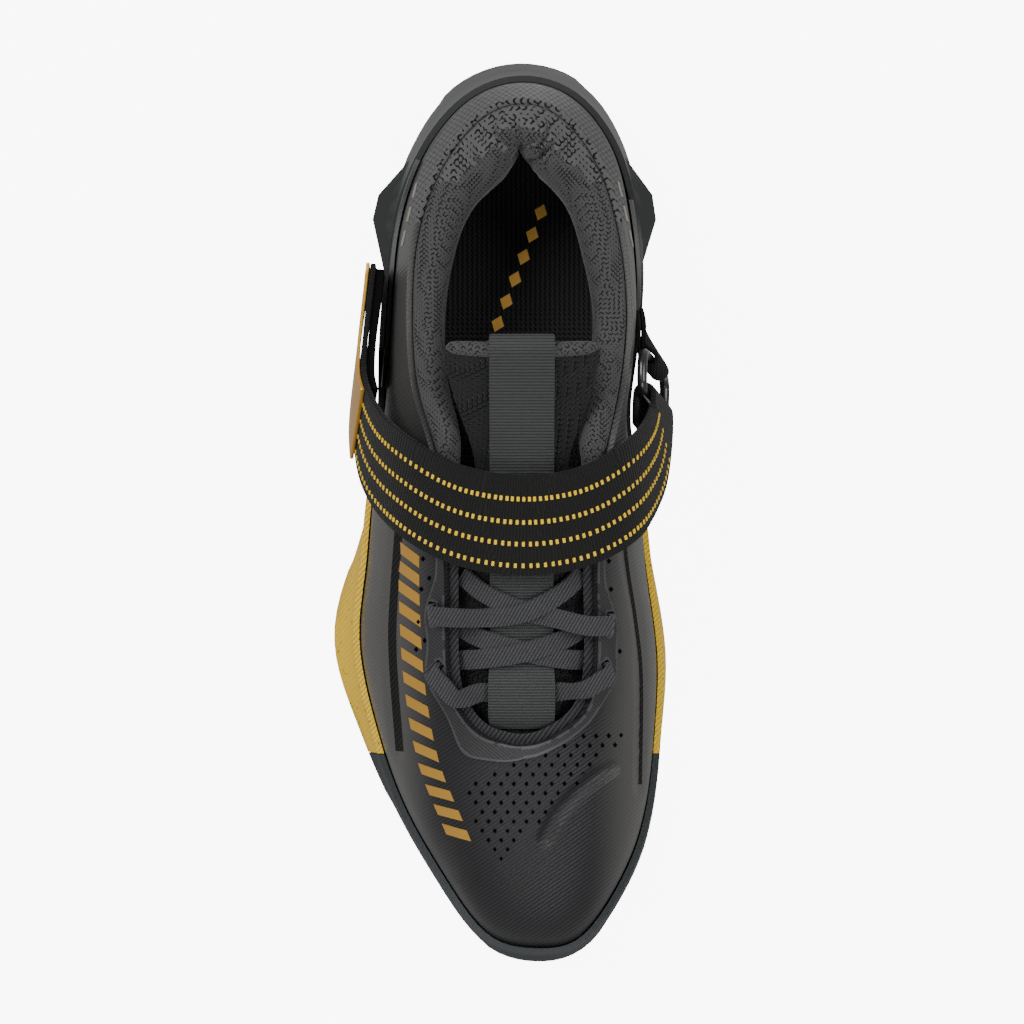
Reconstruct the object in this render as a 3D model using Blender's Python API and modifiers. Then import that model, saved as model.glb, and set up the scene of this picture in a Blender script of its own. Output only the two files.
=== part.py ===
"""Weightlifting shoe for the right foot, standing empty on its sole.

The toe points along -Y, the heel along +Y, and the little-toe side is -X. All lengths are metres.
Round the shoe the forms are read at station numbers: 0 at the toe tip, up the outer side to 14 at
the back of the heel, and down the inner side to 27. A station row holds shares of the named sizes.
"""

import math
from collections import namedtuple

import bmesh
import bpy
import numpy as np
from mathutils import Matrix, Vector

MM = 0.001
UP = np.array((0.0, 0.0, 1.0))

# Sizes of the whole shoe
SHOE_LENGTH = 300.0 * MM
UPPER_WIDTH = 100.0 * MM
COLLAR_HEIGHT = 100.0 * MM

# Heights of the sole
HEEL_HEIGHT = 30.0 * MM
FOREFOOT_HEIGHT = 14.0 * MM
TOE_SPRING = 12.0 * MM
ARCH_RISE = 3.0 * MM
TREAD_THICKNESS = 4.0 * MM
TREAD_GROOVE_DEPTH = 2.0 * MM
TREAD_GROOVE_WIDTH = 2.5 * MM
TREAD_INSET = 1.0 * MM
TREAD_BEVEL = 0.6 * MM
SOLE_EDGE_HEIGHT = 9.0 * MM
LIP_THICKNESS = 2.0 * MM
SHELF_DEPTH = 9.0 * MM

# Walls and clearances
CLEARANCE = 0.3 * MM
UPPER_WALL = 2.0 * MM
EYESTAY_THICKNESS = 0.8 * MM
EYESTAY_WIDTH = 4.0 * MM
EYESTAY_LOBE = 5.5 * MM
EYESTAY_LOBE_LENGTH = 9.0 * MM
INSOLE_THICKNESS = 4.0 * MM
INSOLE_INSET = 3.2 * MM

# Tongue and its woven tape
TONGUE_THICKNESS = 4.0 * MM
TONGUE_CROWN = 8.0 * MM
TONGUE_HALF_WIDTH = 26.0 * MM
TAPE_WIDTH = 20.0 * MM
TAPE_THICKNESS = 1.2 * MM
TAPE_FOLD = 12.0 * MM
TAPE_GAP = 0.5 * MM

# Laces
LACE_WIDTH = 6.4 * MM
LACE_THICKNESS = 1.4 * MM
SLOT_LENGTH = 8.0 * MM
SLOT_WIDTH = 3.0 * MM
SLOT_SETBACK = 5.2 * MM

# Strap, its end tab, ring and anchor
STRAP_WIDTH = 35.0 * MM
STRAP_THICKNESS = 1.8 * MM
STRAP_FOLD = 10.0 * MM
TAB_THICKNESS = 1.2 * MM
TAB_SHARE = 0.21
RING_WIRE = 3.6 * MM
RING_DEPTH = 13.0 * MM
RING_CORNER = 4.5 * MM
ANCHOR_THICKNESS = 1.4 * MM
ANCHOR_WIDTH = 22.0 * MM

# Padded collar: how far it reaches down inside and over the topline, at the ankle and at the throat
COLLAR_DEPTH = 34.0 * MM
THROAT_DEPTH = 8.0 * MM
COLLAR_OVERHANG = 3.0 * MM
THROAT_OVERHANG = 3.2 * MM

# Wings of the heel block
WING_REACH = 6.0 * MM
WING_HEIGHT = 22.0 * MM

# How finely the forms are sampled
STEPS_PER_STATION = 3
UPPER_ROWS = 8
TONGUE_STEPS = 18
TONGUE_COLUMNS = 7
TAPE_STEPS = 24
LACE_STEPS = 4
STRAP_STEPS = 30
TAB_STEPS = 10
EYESTAY_STEPS = 6

Station = namedtuple(
    "Station",
    "name foot_x foot_y flare lip stand_off top_x top_y top_z rise swell reach drop pad",
)
# foot: feather line of the upper. flare: from there to the edge of the sole. lip: height of the sole's
# edge up the upper. top: topline. rise and swell: how the wall starts. reach and drop: how it ends.
# pad: thickness of the padded collar. Shares: x, flare, stand_off, swell, reach and pad of UPPER_WIDTH,
# y of SHOE_LENGTH, the rest of COLLAR_HEIGHT.
STATIONS = [
    Station("toe_tip", 0.118, -0.4817, 0.053, 0.060, 0.0,
            0.060, -0.253, 0.610, 0.22, 0.025, 0.28, 0.08, 0.022),
    Station("toe_outer", -0.045, -0.4660, 0.044, 0.045, 0.0,
            0.010, -0.250, 0.613, 0.22, 0.025, 0.25, 0.08, 0.022),
    Station("toe_corner_outer", -0.200, -0.3950, 0.043, 0.040, 0.0,
            -0.060, -0.242, 0.620, 0.20, 0.025, 0.20, 0.08, 0.022),
    Station("vamp_outer", -0.323, -0.3217, 0.046, 0.045, 0.0,
            -0.120, -0.223, 0.630, 0.19, 0.030, 0.16, 0.08, 0.022),
    Station("ball_front_outer", -0.408, -0.2367, 0.070, 0.070, 0.0,
            -0.165, -0.190, 0.650, 0.20, 0.035, 0.15, 0.08, 0.022),
    Station("ball_outer", -0.465, -0.1433, 0.098, 0.110, 0.0,
            -0.175, -0.133, 0.685, 0.21, 0.040, 0.15, 0.08, 0.022),
    Station("ball_back_outer", -0.436, -0.0567, 0.064, 0.110, 0.0,
            -0.175, -0.067, 0.765, 0.22, 0.040, 0.14, 0.09, 0.022),
    Station("waist_front_outer", -0.415, 0.0200, 0.012, 0.050, 0.0,
            -0.185, 0.000, 0.868, 0.23, 0.040, 0.12, 0.12, 0.045),
    Station("waist_outer", -0.380, 0.0967, 0.015, 0.045, 0.0,
            -0.225, 0.067, 0.930, 0.23, 0.035, 0.09, 0.15, 0.085),
    Station("waist_back_outer", -0.355, 0.1733, 0.025, 0.105, 0.015,
            -0.285, 0.133, 0.850, 0.22, 0.030, 0.05, 0.18, 0.090),
    Station("heel_front_outer", -0.335, 0.2500, 0.045, 0.125, 0.015,
            -0.300, 0.207, 0.810, 0.20, 0.030, 0.04, 0.18, 0.100),
    Station("heel_outer", -0.305, 0.3233, 0.060, 0.190, 0.008,
            -0.285, 0.287, 0.820, 0.20, 0.030, 0.04, 0.18, 0.130),
    Station("heel_corner_outer", -0.225, 0.3933, 0.090, 0.200, 0.0,
            -0.210, 0.360, 0.885, 0.22, 0.035, 0.05, 0.20, 0.150),
    Station("heel_back_outer", -0.095, 0.4417, 0.115, 0.210, 0.0,
            -0.080, 0.415, 0.965, 0.24, 0.040, 0.06, 0.22, 0.150),
    Station("heel_back", 0.065, 0.4600, 0.120, 0.215, 0.0,
            0.063, 0.433, 1.000, 0.24, 0.045, 0.06, 0.24, 0.130),
    Station("heel_back_inner", 0.225, 0.4450, 0.110, 0.210, 0.0,
            0.205, 0.418, 0.965, 0.24, 0.040, 0.06, 0.22, 0.150),
    Station("heel_corner_inner", 0.345, 0.3967, 0.080, 0.200, 0.0,
            0.330, 0.365, 0.885, 0.22, 0.035, 0.05, 0.20, 0.150),
    Station("heel_inner", 0.400, 0.3267, 0.055, 0.190, 0.008,
            0.397, 0.293, 0.820, 0.20, 0.030, 0.03, 0.18, 0.130),
    Station("heel_front_inner", 0.415, 0.2533, 0.045, 0.125, 0.015,
            0.423, 0.213, 0.810, 0.20, 0.030, 0.025, 0.18, 0.100),
    Station("waist_back_inner", 0.400, 0.1767, 0.030, 0.105, 0.015,
            0.405, 0.140, 0.850, 0.22, 0.026, 0.030, 0.18, 0.090),
    Station("waist_inner", 0.400, 0.0967, 0.015, 0.045, 0.0,
            0.362, 0.073, 0.930, 0.24, 0.024, 0.04, 0.15, 0.085),
    Station("waist_front_inner", 0.445, 0.0133, 0.015, 0.050, 0.0,
            0.318, 0.007, 0.868, 0.24, 0.040, 0.11, 0.12, 0.045),
    Station("ball_back_inner", 0.470, -0.0667, 0.042, 0.090, 0.0,
            0.305, -0.060, 0.765, 0.22, 0.035, 0.13, 0.09, 0.022),
    Station("ball_inner", 0.510, -0.1600, 0.048, 0.090, 0.0,
            0.310, -0.127, 0.685, 0.21, 0.035, 0.14, 0.08, 0.022),
    Station("ball_front_inner", 0.502, -0.2467, 0.038, 0.060, 0.0,
            0.305, -0.180, 0.650, 0.20, 0.035, 0.14, 0.08, 0.022),
    Station("vamp_inner", 0.478, -0.3267, 0.038, 0.045, 0.0,
            0.270, -0.217, 0.630, 0.19, 0.030, 0.16, 0.08, 0.022),
    Station("toe_corner_inner", 0.415, -0.3950, 0.042, 0.040, 0.0,
            0.200, -0.238, 0.620, 0.20, 0.025, 0.20, 0.08, 0.022),
    Station("toe_inner", 0.270, -0.4683, 0.045, 0.045, 0.0,
            0.125, -0.250, 0.613, 0.22, 0.025, 0.25, 0.08, 0.022),
]
STATION_COUNT = len(STATIONS)
AROUND = STATION_COUNT * STEPS_PER_STATION
UNITS = {
    "foot_x": UPPER_WIDTH, "foot_y": SHOE_LENGTH, "flare": UPPER_WIDTH, "lip": COLLAR_HEIGHT,
    "stand_off": UPPER_WIDTH, "top_x": UPPER_WIDTH, "top_y": SHOE_LENGTH, "top_z": COLLAR_HEIGHT,
    "rise": COLLAR_HEIGHT, "swell": UPPER_WIDTH, "reach": UPPER_WIDTH, "drop": COLLAR_HEIGHT,
    "pad": UPPER_WIDTH,
}
COLUMNS = {name: [getattr(s, name) * unit for s in STATIONS] for name, unit in UNITS.items()}

# Where the sole changes material, and where its flat tread ends, along the shoe
TOE_BLOCK_END = -0.27 * SHOE_LENGTH
HEEL_BLOCK_START = 0.05 * SHOE_LENGTH
SPRING_START = -0.24 * SHOE_LENGTH
TOE_END = -0.49 * SHOE_LENGTH
ARCH_START = -0.005 * SHOE_LENGTH
ARCH_MIDDLE = 0.09 * SHOE_LENGTH
ARCH_END = 0.19 * SHOE_LENGTH
WEDGE_START = -0.17 * SHOE_LENGTH
WEDGE_END = 0.22 * SHOE_LENGTH
WING_HALF_LENGTH = 0.062 * SHOE_LENGTH
TREAD_GROOVES = [
    share * SHOE_LENGTH for share in (-0.36, -0.31, -0.26, -0.21, -0.16, -0.11, 0.24, 0.29, 0.34, 0.39)
]
TREAD_GROOVE_SLANT = math.radians(8)

# Where things lie on the upper and the tongue
TONGUE_MIDDLE = 0.068 * UPPER_WIDTH
TAPE_COLUMNS = (0.5, 0.2, -0.2, -0.5)
TAPE_START = -0.232 * SHOE_LENGTH
BAR_AT = -0.198 * SHOE_LENGTH
EYESTAY_HALF_STATIONS = 7
TOE_LOBE_STATION = 1.8
TOE_LOBE_STATIONS = 1.1
WING_STATIONS = {"outer": 11.0, "inner": 17.0}
ANCHOR_STATION = 18.3
ANCHOR_STATIONS = 0.3

Material = namedtuple("Material", "colour roughness metallic")
MATERIALS = {
    "slate_rubber": Material((0.035, 0.042, 0.047), 0.55, 0.0),
    "yellow_foam": Material((0.62, 0.43, 0.06), 0.6, 0.0),
    "grey_moulding": Material((0.045, 0.05, 0.052), 0.4, 0.0),
    "coated_textile": Material((0.03, 0.03, 0.032), 0.5, 0.0),
    "grey_knit": Material((0.06, 0.06, 0.062), 0.9, 0.0),
    "black_mesh": Material((0.01, 0.01, 0.011), 0.9, 0.0),
    "grey_webbing": Material((0.05, 0.052, 0.055), 0.85, 0.0),
    "black_elastic": Material((0.012, 0.011, 0.011), 0.85, 0.0),
    "gold_film": Material((0.58, 0.38, 0.16), 0.35, 0.6),
    "smoked_plastic": Material((0.02, 0.022, 0.024), 0.2, 0.0),
    "black_foam": Material((0.008, 0.008, 0.008), 0.9, 0.0),
}


def ring_value(name, u):
    """A station column at station number u, smooth and closed round the shoe."""
    column = COLUMNS[name]
    i = math.floor(u)
    f = u - i
    a, b, c, d = (column[(i + k) % STATION_COUNT] for k in (-1, 0, 1, 2))
    return b + 0.5 * f * (c - a + f * (2 * a - 5 * b + 4 * c - d + f * (3 * (b - c) + d - a)))


def curve_value(points, f):
    """A smooth open curve through the points at f from 0 to 1."""
    points = np.asarray(points, float)
    last = len(points) - 1
    x = min(max(f, 0.0), 1.0) * last
    i = min(int(x), last - 1)
    x -= i
    b, c = points[i], points[i + 1]
    a = points[i - 1] if i > 0 else 2 * b - c
    d = points[i + 2] if i + 2 <= last else 2 * c - b
    return b + 0.5 * x * (c - a + x * (2 * a - 5 * b + 4 * c - d + x * (3 * (b - c) + d - a)))


def route_value(points, f):
    """A smooth open curve through unevenly spaced points, which never loops beside a short stretch."""
    points = np.asarray(points, float)
    last = len(points) - 1
    x = min(max(f, 0.0), 1.0) * last
    i = min(int(x), last - 1)
    x -= i
    b, c = points[i], points[i + 1]
    before = c - points[max(i - 1, 0)]
    after = points[min(i + 2, last)] - b
    length = np.linalg.norm(c - b)
    start = before * length / np.linalg.norm(before)
    end = after * length / np.linalg.norm(after)
    curved = (1 + 2 * x) * (1 - x) ** 2 * b + x * (1 - x) ** 2 * start
    return curved + x * x * (3 - 2 * x) * c - x * x * (1 - x) * end


def ease(start, end, value):
    """0 before start, 1 after end, smooth between them."""
    f = min(max((value - start) / (end - start), 0.0), 1.0)
    return f * f * (3 - 2 * f)


def ground_height(y):
    """Underside of the sole: flat at heel and forefoot, raised at the arch and sprung at the toe."""
    arch = ARCH_RISE * ease(ARCH_START, ARCH_MIDDLE, y) * (1 - ease(ARCH_MIDDLE, ARCH_END, y))
    spring = max(0.0, (SPRING_START - y) / (SPRING_START - TOE_END))
    return arch + TOE_SPRING * spring**1.8


def shelf_height(y):
    """Top of the sole, where the upper stands: a wedge up to the heel, sprung at the toe."""
    spring = max(0.0, (SPRING_START - y) / (SPRING_START - TOE_END))
    wedge = (HEEL_HEIGHT - FOREFOOT_HEIGHT) * ease(WEDGE_START, WEDGE_END, y)
    return FOREFOOT_HEIGHT + wedge + TOE_SPRING * spring**1.8


def foot_point(u):
    """A point of the feather line, on the top of the sole."""
    y = ring_value("foot_y", u)
    return np.array((ring_value("foot_x", u), y, shelf_height(y)))


def outward(u):
    """The level direction out of the shoe at a station."""
    ahead, behind = foot_point(u + 0.3), foot_point(u - 0.3)
    along = ahead - behind
    side = np.array((-along[1], along[0], 0.0))
    return side / np.linalg.norm(side)


def upper_point(u, t):
    """The outer face of the upper, from the feather line at t 0 to the topline at t 1."""
    out = outward(u)
    foot = foot_point(u) + CLEARANCE * UP
    top = np.array([ring_value(n, u) for n in ("top_x", "top_y", "top_z")])
    low = foot + ring_value("swell", u) * out + ring_value("rise", u) * UP
    high = top + ring_value("reach", u) * out - ring_value("drop", u) * UP
    s = 1 - t
    return s**3 * foot + 3 * s * s * t * low + 3 * s * t * t * high + t**3 * top


def upper_slope(u, t):
    """Which way the upper runs, from sole to topline, as a unit vector."""
    step = 0.01
    along = upper_point(u, min(t + step, 1.0)) - upper_point(u, max(t - step, 0.0))
    return along / np.linalg.norm(along)


def upper_normal(u, t):
    """The direction straight out of the upper."""
    step = 0.05
    around = upper_point(u + step, t) - upper_point(u - step, t)
    normal = np.cross(upper_slope(u, t), around)
    return normal / np.linalg.norm(normal)


def share_at_height(u, height):
    """The t at which the upper has climbed this far above the sole."""
    low, high = 0.0, 1.0
    base = foot_point(u)[2]
    for _ in range(24):
        middle = (low + high) / 2
        if upper_point(u, middle)[2] - base < height:
            low = middle
        else:
            high = middle
    return low


def finish(obj, material, smooth_angle=40.0):
    """Gives an object its material and smooth shading, and puts it in the shoe's collection."""
    made = bpy.data.materials.get(material)
    if made is None:
        values = MATERIALS[material]
        made = bpy.data.materials.new(material)
        made.use_nodes = True
        shader = made.node_tree.nodes["Principled BSDF"]
        shader.inputs["Base Color"].default_value = (*values.colour, 1.0)
        shader.inputs["Roughness"].default_value = values.roughness
        shader.inputs["Metallic"].default_value = values.metallic
    obj.data.materials.append(made)
    SHOE.objects.link(obj)
    if obj.type == "MESH":
        obj.data.shade_smooth()
        obj.data.set_sharp_from_angle(angle=math.radians(smooth_angle))
    return obj


def mesh_object(name, points, faces):
    """A mesh object from points and faces."""
    mesh = bpy.data.meshes.new(name)
    mesh.from_pydata([tuple(p) for p in points], [], faces)
    mesh.update()
    return bpy.data.objects.new(name, mesh)


def closed_object(name, points, faces):
    """A closed mesh object whose faces all point out."""
    obj = mesh_object(name, points, faces)
    shape = bmesh.new()
    shape.from_mesh(obj.data)
    bmesh.ops.recalc_face_normals(shape, faces=shape.faces)
    shape.to_mesh(obj.data)
    shape.free()
    return obj


def loft_faces(rings, count, closed):
    """Quads between rings of count points. closed joins the last point of each ring to its first."""
    faces = []
    for r in range(rings - 1):
        for k in range(count if closed else count - 1):
            a, b = r * count + k, r * count + (k + 1) % count
            faces.append((a, a + count, b + count, b))
    return faces


def ladder_faces(first, count):
    """Fills a ring round the shoe by rungs from its outer to its inner side."""
    faces = [(first, first + 1, first + count - 1)]
    for k in range(1, count // 2 - 1):
        faces.append((first + k, first + k + 1, first + count - k - 1, first + count - k))
    half = first + count // 2
    faces.append((half - 1, half, half + 1))
    return faces


def ribbon(name, rows, thickness, material):
    """A strip through rows of points, thickened on the side that its faces point to."""
    count = len(rows[0])
    obj = mesh_object(name, [p for row in rows for p in row], loft_faces(len(rows), count, False))
    wall = obj.modifiers.new("wall", "SOLIDIFY")
    wall.thickness = thickness
    wall.offset = 1.0
    wall.use_even_offset = True
    return finish(obj, material)


def cutter_box(name, size, place, turn):
    """A box that cuts another piece."""
    mesh = bpy.data.meshes.new(name)
    shape = bmesh.new()
    bmesh.ops.create_cube(shape, size=1.0)
    bmesh.ops.scale(shape, vec=size, verts=shape.verts)
    shape.to_mesh(mesh)
    shape.free()
    obj = bpy.data.objects.new(name, mesh)
    obj.location = place
    obj.rotation_euler = turn
    obj.hide_render = True
    obj.display_type = "WIRE"
    CUTTERS.objects.link(obj)
    return obj


def add_boolean(obj, other, operation):
    """Cuts, joins or keeps with another object, exactly."""
    step = obj.modifiers.new(other.name, "BOOLEAN")
    step.object = other
    step.operation = operation
    step.solver = "EXACT"


def samples():
    """The station numbers at which the shoe is sampled all the way round."""
    return [k / STEPS_PER_STATION for k in range(AROUND)]


def make_upper():
    """The outer shell: one hollow wall, open at the topline and at the sole, with slots for the laces."""
    points = [upper_point(u, k / UPPER_ROWS) for u in samples() for k in range(UPPER_ROWS + 1)]
    rows = UPPER_ROWS + 1
    faces = []
    for k in range(AROUND):
        for r in range(UPPER_ROWS):
            a, b = k * rows + r, ((k + 1) % AROUND) * rows + r
            faces.append((a, a + 1, b + 1, b))
    obj = mesh_object("upper", points, faces)
    wall = obj.modifiers.new("wall", "SOLIDIFY")
    wall.thickness = UPPER_WALL
    wall.offset = -1.0
    wall.use_even_offset = True
    finish(obj, "coated_textile")
    return obj


def sole_wall(u, base_height):
    """The section of the sole's edge at a station, from its bed over the lip and down to base_height."""
    out = outward(u)
    foot = foot_point(u)
    gap = CLEARANCE + ring_value("stand_off", u)
    lip = ring_value("lip", u)
    top = share_at_height(u, lip)
    inner = foot - SHELF_DEPTH * out
    inner[2] = shelf_height(inner[1])
    section = [inner, foot + CLEARANCE * out]
    for share in (0.5, 1.0):
        section.append(upper_point(u, top * share) + gap * upper_normal(u, top * share))
    lip_out = section[-1] + LIP_THICKNESS * out
    edge = foot + ring_value("flare", u) * out
    ground = ground_height(edge[1])
    crease = lip_out + 0.12 * (edge - lip_out)
    crease[2] = lip_out[2] - 0.55 * lip
    edge_top = edge.copy()
    edge_top[2] = ground + SOLE_EDGE_HEIGHT
    base = edge - TREAD_INSET * out
    base[2] = ground_height(base[1]) + base_height
    return [*section, lip_out, crease, edge_top, base]


def sole_body(name, base_height):
    """The whole sole above its tread as one closed form, to be cut into its mouldings."""
    sections = [sole_wall(u, base_height) for u in samples()]
    levels = len(sections[0])
    points = [section[level] for level in range(levels) for section in sections]
    faces = loft_faces(levels, AROUND, True)
    faces += ladder_faces(0, AROUND)
    faces += ladder_faces((levels - 1) * AROUND, AROUND)
    return closed_object(name, points, faces)


def make_tread():
    """The flat part of the outsole."""
    rings = []
    for height in (TREAD_THICKNESS, TREAD_BEVEL, 0.0):
        inset = TREAD_INSET if height else 2 * TREAD_INSET
        ring = []
        for u in samples():
            out = outward(u)
            point = foot_point(u) + (ring_value("flare", u) - inset) * out
            point[2] = ground_height(point[1]) + height
            ring.append(point)
        rings.append(ring)
    faces = loft_faces(len(rings), AROUND, True)
    faces += ladder_faces(0, AROUND)
    faces += ladder_faces((len(rings) - 1) * AROUND, AROUND)
    return closed_object("outsole", [p for ring in rings for p in ring], faces)


def half_space(name, edge_y, forward):
    """A big box that keeps what is ahead of, or behind, a line across the sole."""
    size = 2 * SHOE_LENGTH
    shift = -size / 2 if forward else size / 2
    return cutter_box(name, (size, size, size), (0.0, edge_y + shift, 0.0), (0.0, 0.0, 0.0))


def make_sole():
    """Outsole, midsole and heel block."""
    outsole = make_tread()
    toe = sole_body("toe_block", TREAD_THICKNESS / 2)
    CUTTERS.objects.link(toe)
    toe.hide_render = True
    toe.display_type = "WIRE"
    add_boolean(toe, half_space("toe_keep", TOE_BLOCK_END, True), "INTERSECT")
    add_boolean(outsole, toe, "UNION")
    for n, y in enumerate(TREAD_GROOVES):
        size = (2 * UPPER_WIDTH, TREAD_GROOVE_WIDTH, 2 * TREAD_GROOVE_DEPTH)
        turn = (0.0, 0.0, TREAD_GROOVE_SLANT)
        groove = cutter_box(f"groove_{n}", size, (0.0, y, ground_height(y)), turn)
        add_boolean(outsole, groove, "DIFFERENCE")
    finish(outsole, "slate_rubber")
    above_tread = TREAD_THICKNESS + CLEARANCE
    midsole = sole_body("midsole", above_tread)
    add_boolean(midsole, half_space("mid_keep_back", TOE_BLOCK_END + CLEARANCE, False), "INTERSECT")
    add_boolean(midsole, half_space("mid_keep_front", HEEL_BLOCK_START, True), "INTERSECT")
    finish(midsole, "yellow_foam")
    heel = sole_body("heel_block", above_tread)
    add_boolean(heel, half_space("heel_keep", HEEL_BLOCK_START + CLEARANCE, False), "INTERSECT")
    for side, station in WING_STATIONS.items():
        add_boolean(heel, make_wing(side, station), "UNION")
    finish(heel, "grey_moulding", 30.0)


def make_wing(side, station):
    """A pointed outrigger on one side of the heel block, as a solid that the block is joined with."""
    out = outward(station)
    edge = foot_point(station) + ring_value("flare", station) * out
    ahead = np.array((-out[1], out[0], 0.0)) * (1.0 if out[0] > 0 else -1.0)
    base = TREAD_THICKNESS + CLEARANCE
    depth = ring_value("flare", station)
    corners = []
    for along, reach, low, high in (
        (-1.0, -0.3, 0.0, 0.75), (-0.15, 1.0, 0.0, 0.45), (0.3, 1.0, 0.0, 0.5), (1.0, -0.3, 0.0, 1.0),
    ):
        at = edge + along * WING_HALF_LENGTH * ahead + max(reach, 0.0) * WING_REACH * out
        at += min(reach, 0.0) * depth * out
        corners += [(at[0], at[1], base + low * WING_HEIGHT), (at[0], at[1], base + high * WING_HEIGHT)]
    for along in (-0.9, 0.9):
        at = edge + along * WING_HALF_LENGTH * ahead - depth * out
        corners += [(at[0], at[1], base), (at[0], at[1], base + WING_HEIGHT)]
    mesh = bpy.data.meshes.new(f"wing_{side}")
    shape = bmesh.new()
    for corner in corners:
        shape.verts.new(corner)
    hull = bmesh.ops.convex_hull(shape, input=shape.verts)
    spare = [v for v in hull["geom_interior"] if isinstance(v, bmesh.types.BMVert)]
    bmesh.ops.delete(shape, geom=spare, context="VERTS")
    shape.to_mesh(mesh)
    shape.free()
    wing = bpy.data.objects.new(f"wing_{side}", mesh)
    wing.hide_render = True
    wing.display_type = "WIRE"
    CUTTERS.objects.link(wing)
    return wing


def make_insole():
    """The loose sock inside, a little smaller than the feather line."""
    rings = []
    for lift, inset in ((INSOLE_THICKNESS, 1.2), (CLEARANCE, 1.0)):
        ring = []
        for u in samples():
            point = foot_point(u) - inset * INSOLE_INSET * outward(u)
            point[2] = shelf_height(point[1]) + lift
            ring.append(point)
        rings.append(ring)
    faces = loft_faces(2, AROUND, True) + ladder_faces(0, AROUND) + ladder_faces(AROUND, AROUND)
    finish(closed_object("insole", [p for ring in rings for p in ring], faces), "black_foam")


# Columns of the collar: where a point lies down the wall, as a share of the collar's depth or, above
# the topline, of its overhang, and how far in from the wall, as a share of the pad.
CollarPoint = namedtuple("CollarPoint", "down over inward")
COLLAR_SECTION = [
    CollarPoint(1.0, 0.0, 0.0), CollarPoint(0.5, 0.0, 0.0), CollarPoint(0.0, 0.0, 0.0),
    CollarPoint(0.0, 0.6, -0.05), CollarPoint(0.0, 1.0, 0.25), CollarPoint(0.0, 0.8, 0.6),
    CollarPoint(0.05, 0.0, 0.85), CollarPoint(0.45, 0.0, 1.0), CollarPoint(1.0, 0.0, 0.35),
]


def around_ankle(u):
    """1 round the ankle, 0 beside the throat."""
    u %= STATION_COUNT
    return ease(7.2, 9.6, u) * (1 - ease(18.4, 20.8, u))


def make_collar():
    """The padded knit lining: a closed ring inside the topline, thick round the ankle, thin at the throat."""
    points = []
    for u in samples():
        ankle = around_ankle(u)
        depth = THROAT_DEPTH + (COLLAR_DEPTH - THROAT_DEPTH) * ankle
        over = THROAT_OVERHANG + (COLLAR_OVERHANG - THROAT_OVERHANG) * ankle
        pad = ring_value("pad", u)
        length = sum(
            np.linalg.norm(upper_point(u, (k + 1) / 10) - upper_point(u, k / 10)) for k in range(10)
        )
        for row in COLLAR_SECTION:
            t = 1 - row.down * depth / length
            start = upper_point(u, t) - (UPPER_WALL + 1.5 * CLEARANCE) * upper_normal(u, t)
            start += row.over * over * upper_slope(u, 1.0)
            points.append(start - row.inward * pad * upper_normal(u, t))
    count = len(COLLAR_SECTION)
    faces = []
    for k in range(AROUND):
        for r in range(count):
            a, b = k * count + r, ((k + 1) % AROUND) * count + r
            c, d = k * count + (r + 1) % count, ((k + 1) % AROUND) * count + (r + 1) % count
            faces.append((a, c, d, b))
    finish(closed_object("collar", points, faces), "grey_knit")


# The tongue's middle line: along as a share of SHOE_LENGTH, height of COLLAR_HEIGHT, and half its
# width there as a share of TONGUE_HALF_WIDTH. It narrows where the collar's front edges hold it.
TonguePoint = namedtuple("TonguePoint", "along height half")
TONGUE_LINE = [
    TonguePoint(-0.285, 0.495, 0.80), TonguePoint(-0.250, 0.538, 0.88), TonguePoint(-0.215, 0.583, 0.95),
    TonguePoint(-0.180, 0.625, 1.00), TonguePoint(-0.133, 0.668, 1.00), TonguePoint(-0.067, 0.750, 0.85),
    TonguePoint(0.000, 0.848, 0.62), TonguePoint(0.055, 0.925, 0.58), TonguePoint(0.110, 1.040, 0.82),
    TonguePoint(0.165, 1.180, 0.98),
]


def tongue_line(f):
    """Place along the shoe, height and half width of the tongue at f from its toe end to its free edge."""
    line = [
        (p.along * SHOE_LENGTH, p.height * COLLAR_HEIGHT, p.half * TONGUE_HALF_WIDTH) for p in TONGUE_LINE
    ]
    return curve_value(line, f)


def tongue_surface(f, x):
    """The tongue's top face at f, and x to the side of its middle."""
    y, z, _ = tongue_line(f)
    return np.array((TONGUE_MIDDLE + x, y, z - TONGUE_CROWN * (x / TONGUE_HALF_WIDTH) ** 2))


def tongue_point(f, x, lift=0.0):
    """A point lifted straight off the tongue's top face."""
    step = 0.01
    along = tongue_surface(min(f + step, 1.0), x) - tongue_surface(max(f - step, 0.0), x)
    across = tongue_surface(f, x + MM) - tongue_surface(f, x - MM)
    normal = np.cross(across, along)
    return tongue_surface(f, x) + lift * normal / np.linalg.norm(normal)


def tongue_share(y):
    """How far along the tongue a place along the shoe lies."""
    low, high = 0.0, 1.0
    for _ in range(24):
        middle = (low + high) / 2
        if tongue_line(middle)[0] < y:
            low = middle
        else:
            high = middle
    return low


def make_tongue():
    """The padded tongue under the throat."""
    rows = []
    for k in range(TONGUE_STEPS + 1):
        f = k / TONGUE_STEPS
        rows.append([tongue_surface(f, v * tongue_line(f)[2]) for v in np.linspace(-1, 1, TONGUE_COLUMNS)])
    points = [p for row in rows for p in row]
    obj = mesh_object("tongue", points, loft_faces(len(rows), TONGUE_COLUMNS, False))
    wall = obj.modifiers.new("wall", "SOLIDIFY")
    wall.thickness = TONGUE_THICKNESS
    wall.offset = 1.0
    finish(obj, "black_mesh")


def tape_lift(y):
    """How high the tape's underside lies over the tongue: it rides over the lowest lace."""
    over_bar = 1 - ease(0.8 * LACE_WIDTH, 1.6 * LACE_WIDTH, abs(y - BAR_AT))
    return TAPE_GAP + (LACE_THICKNESS + 5 * CLEARANCE) * over_bar


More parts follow.
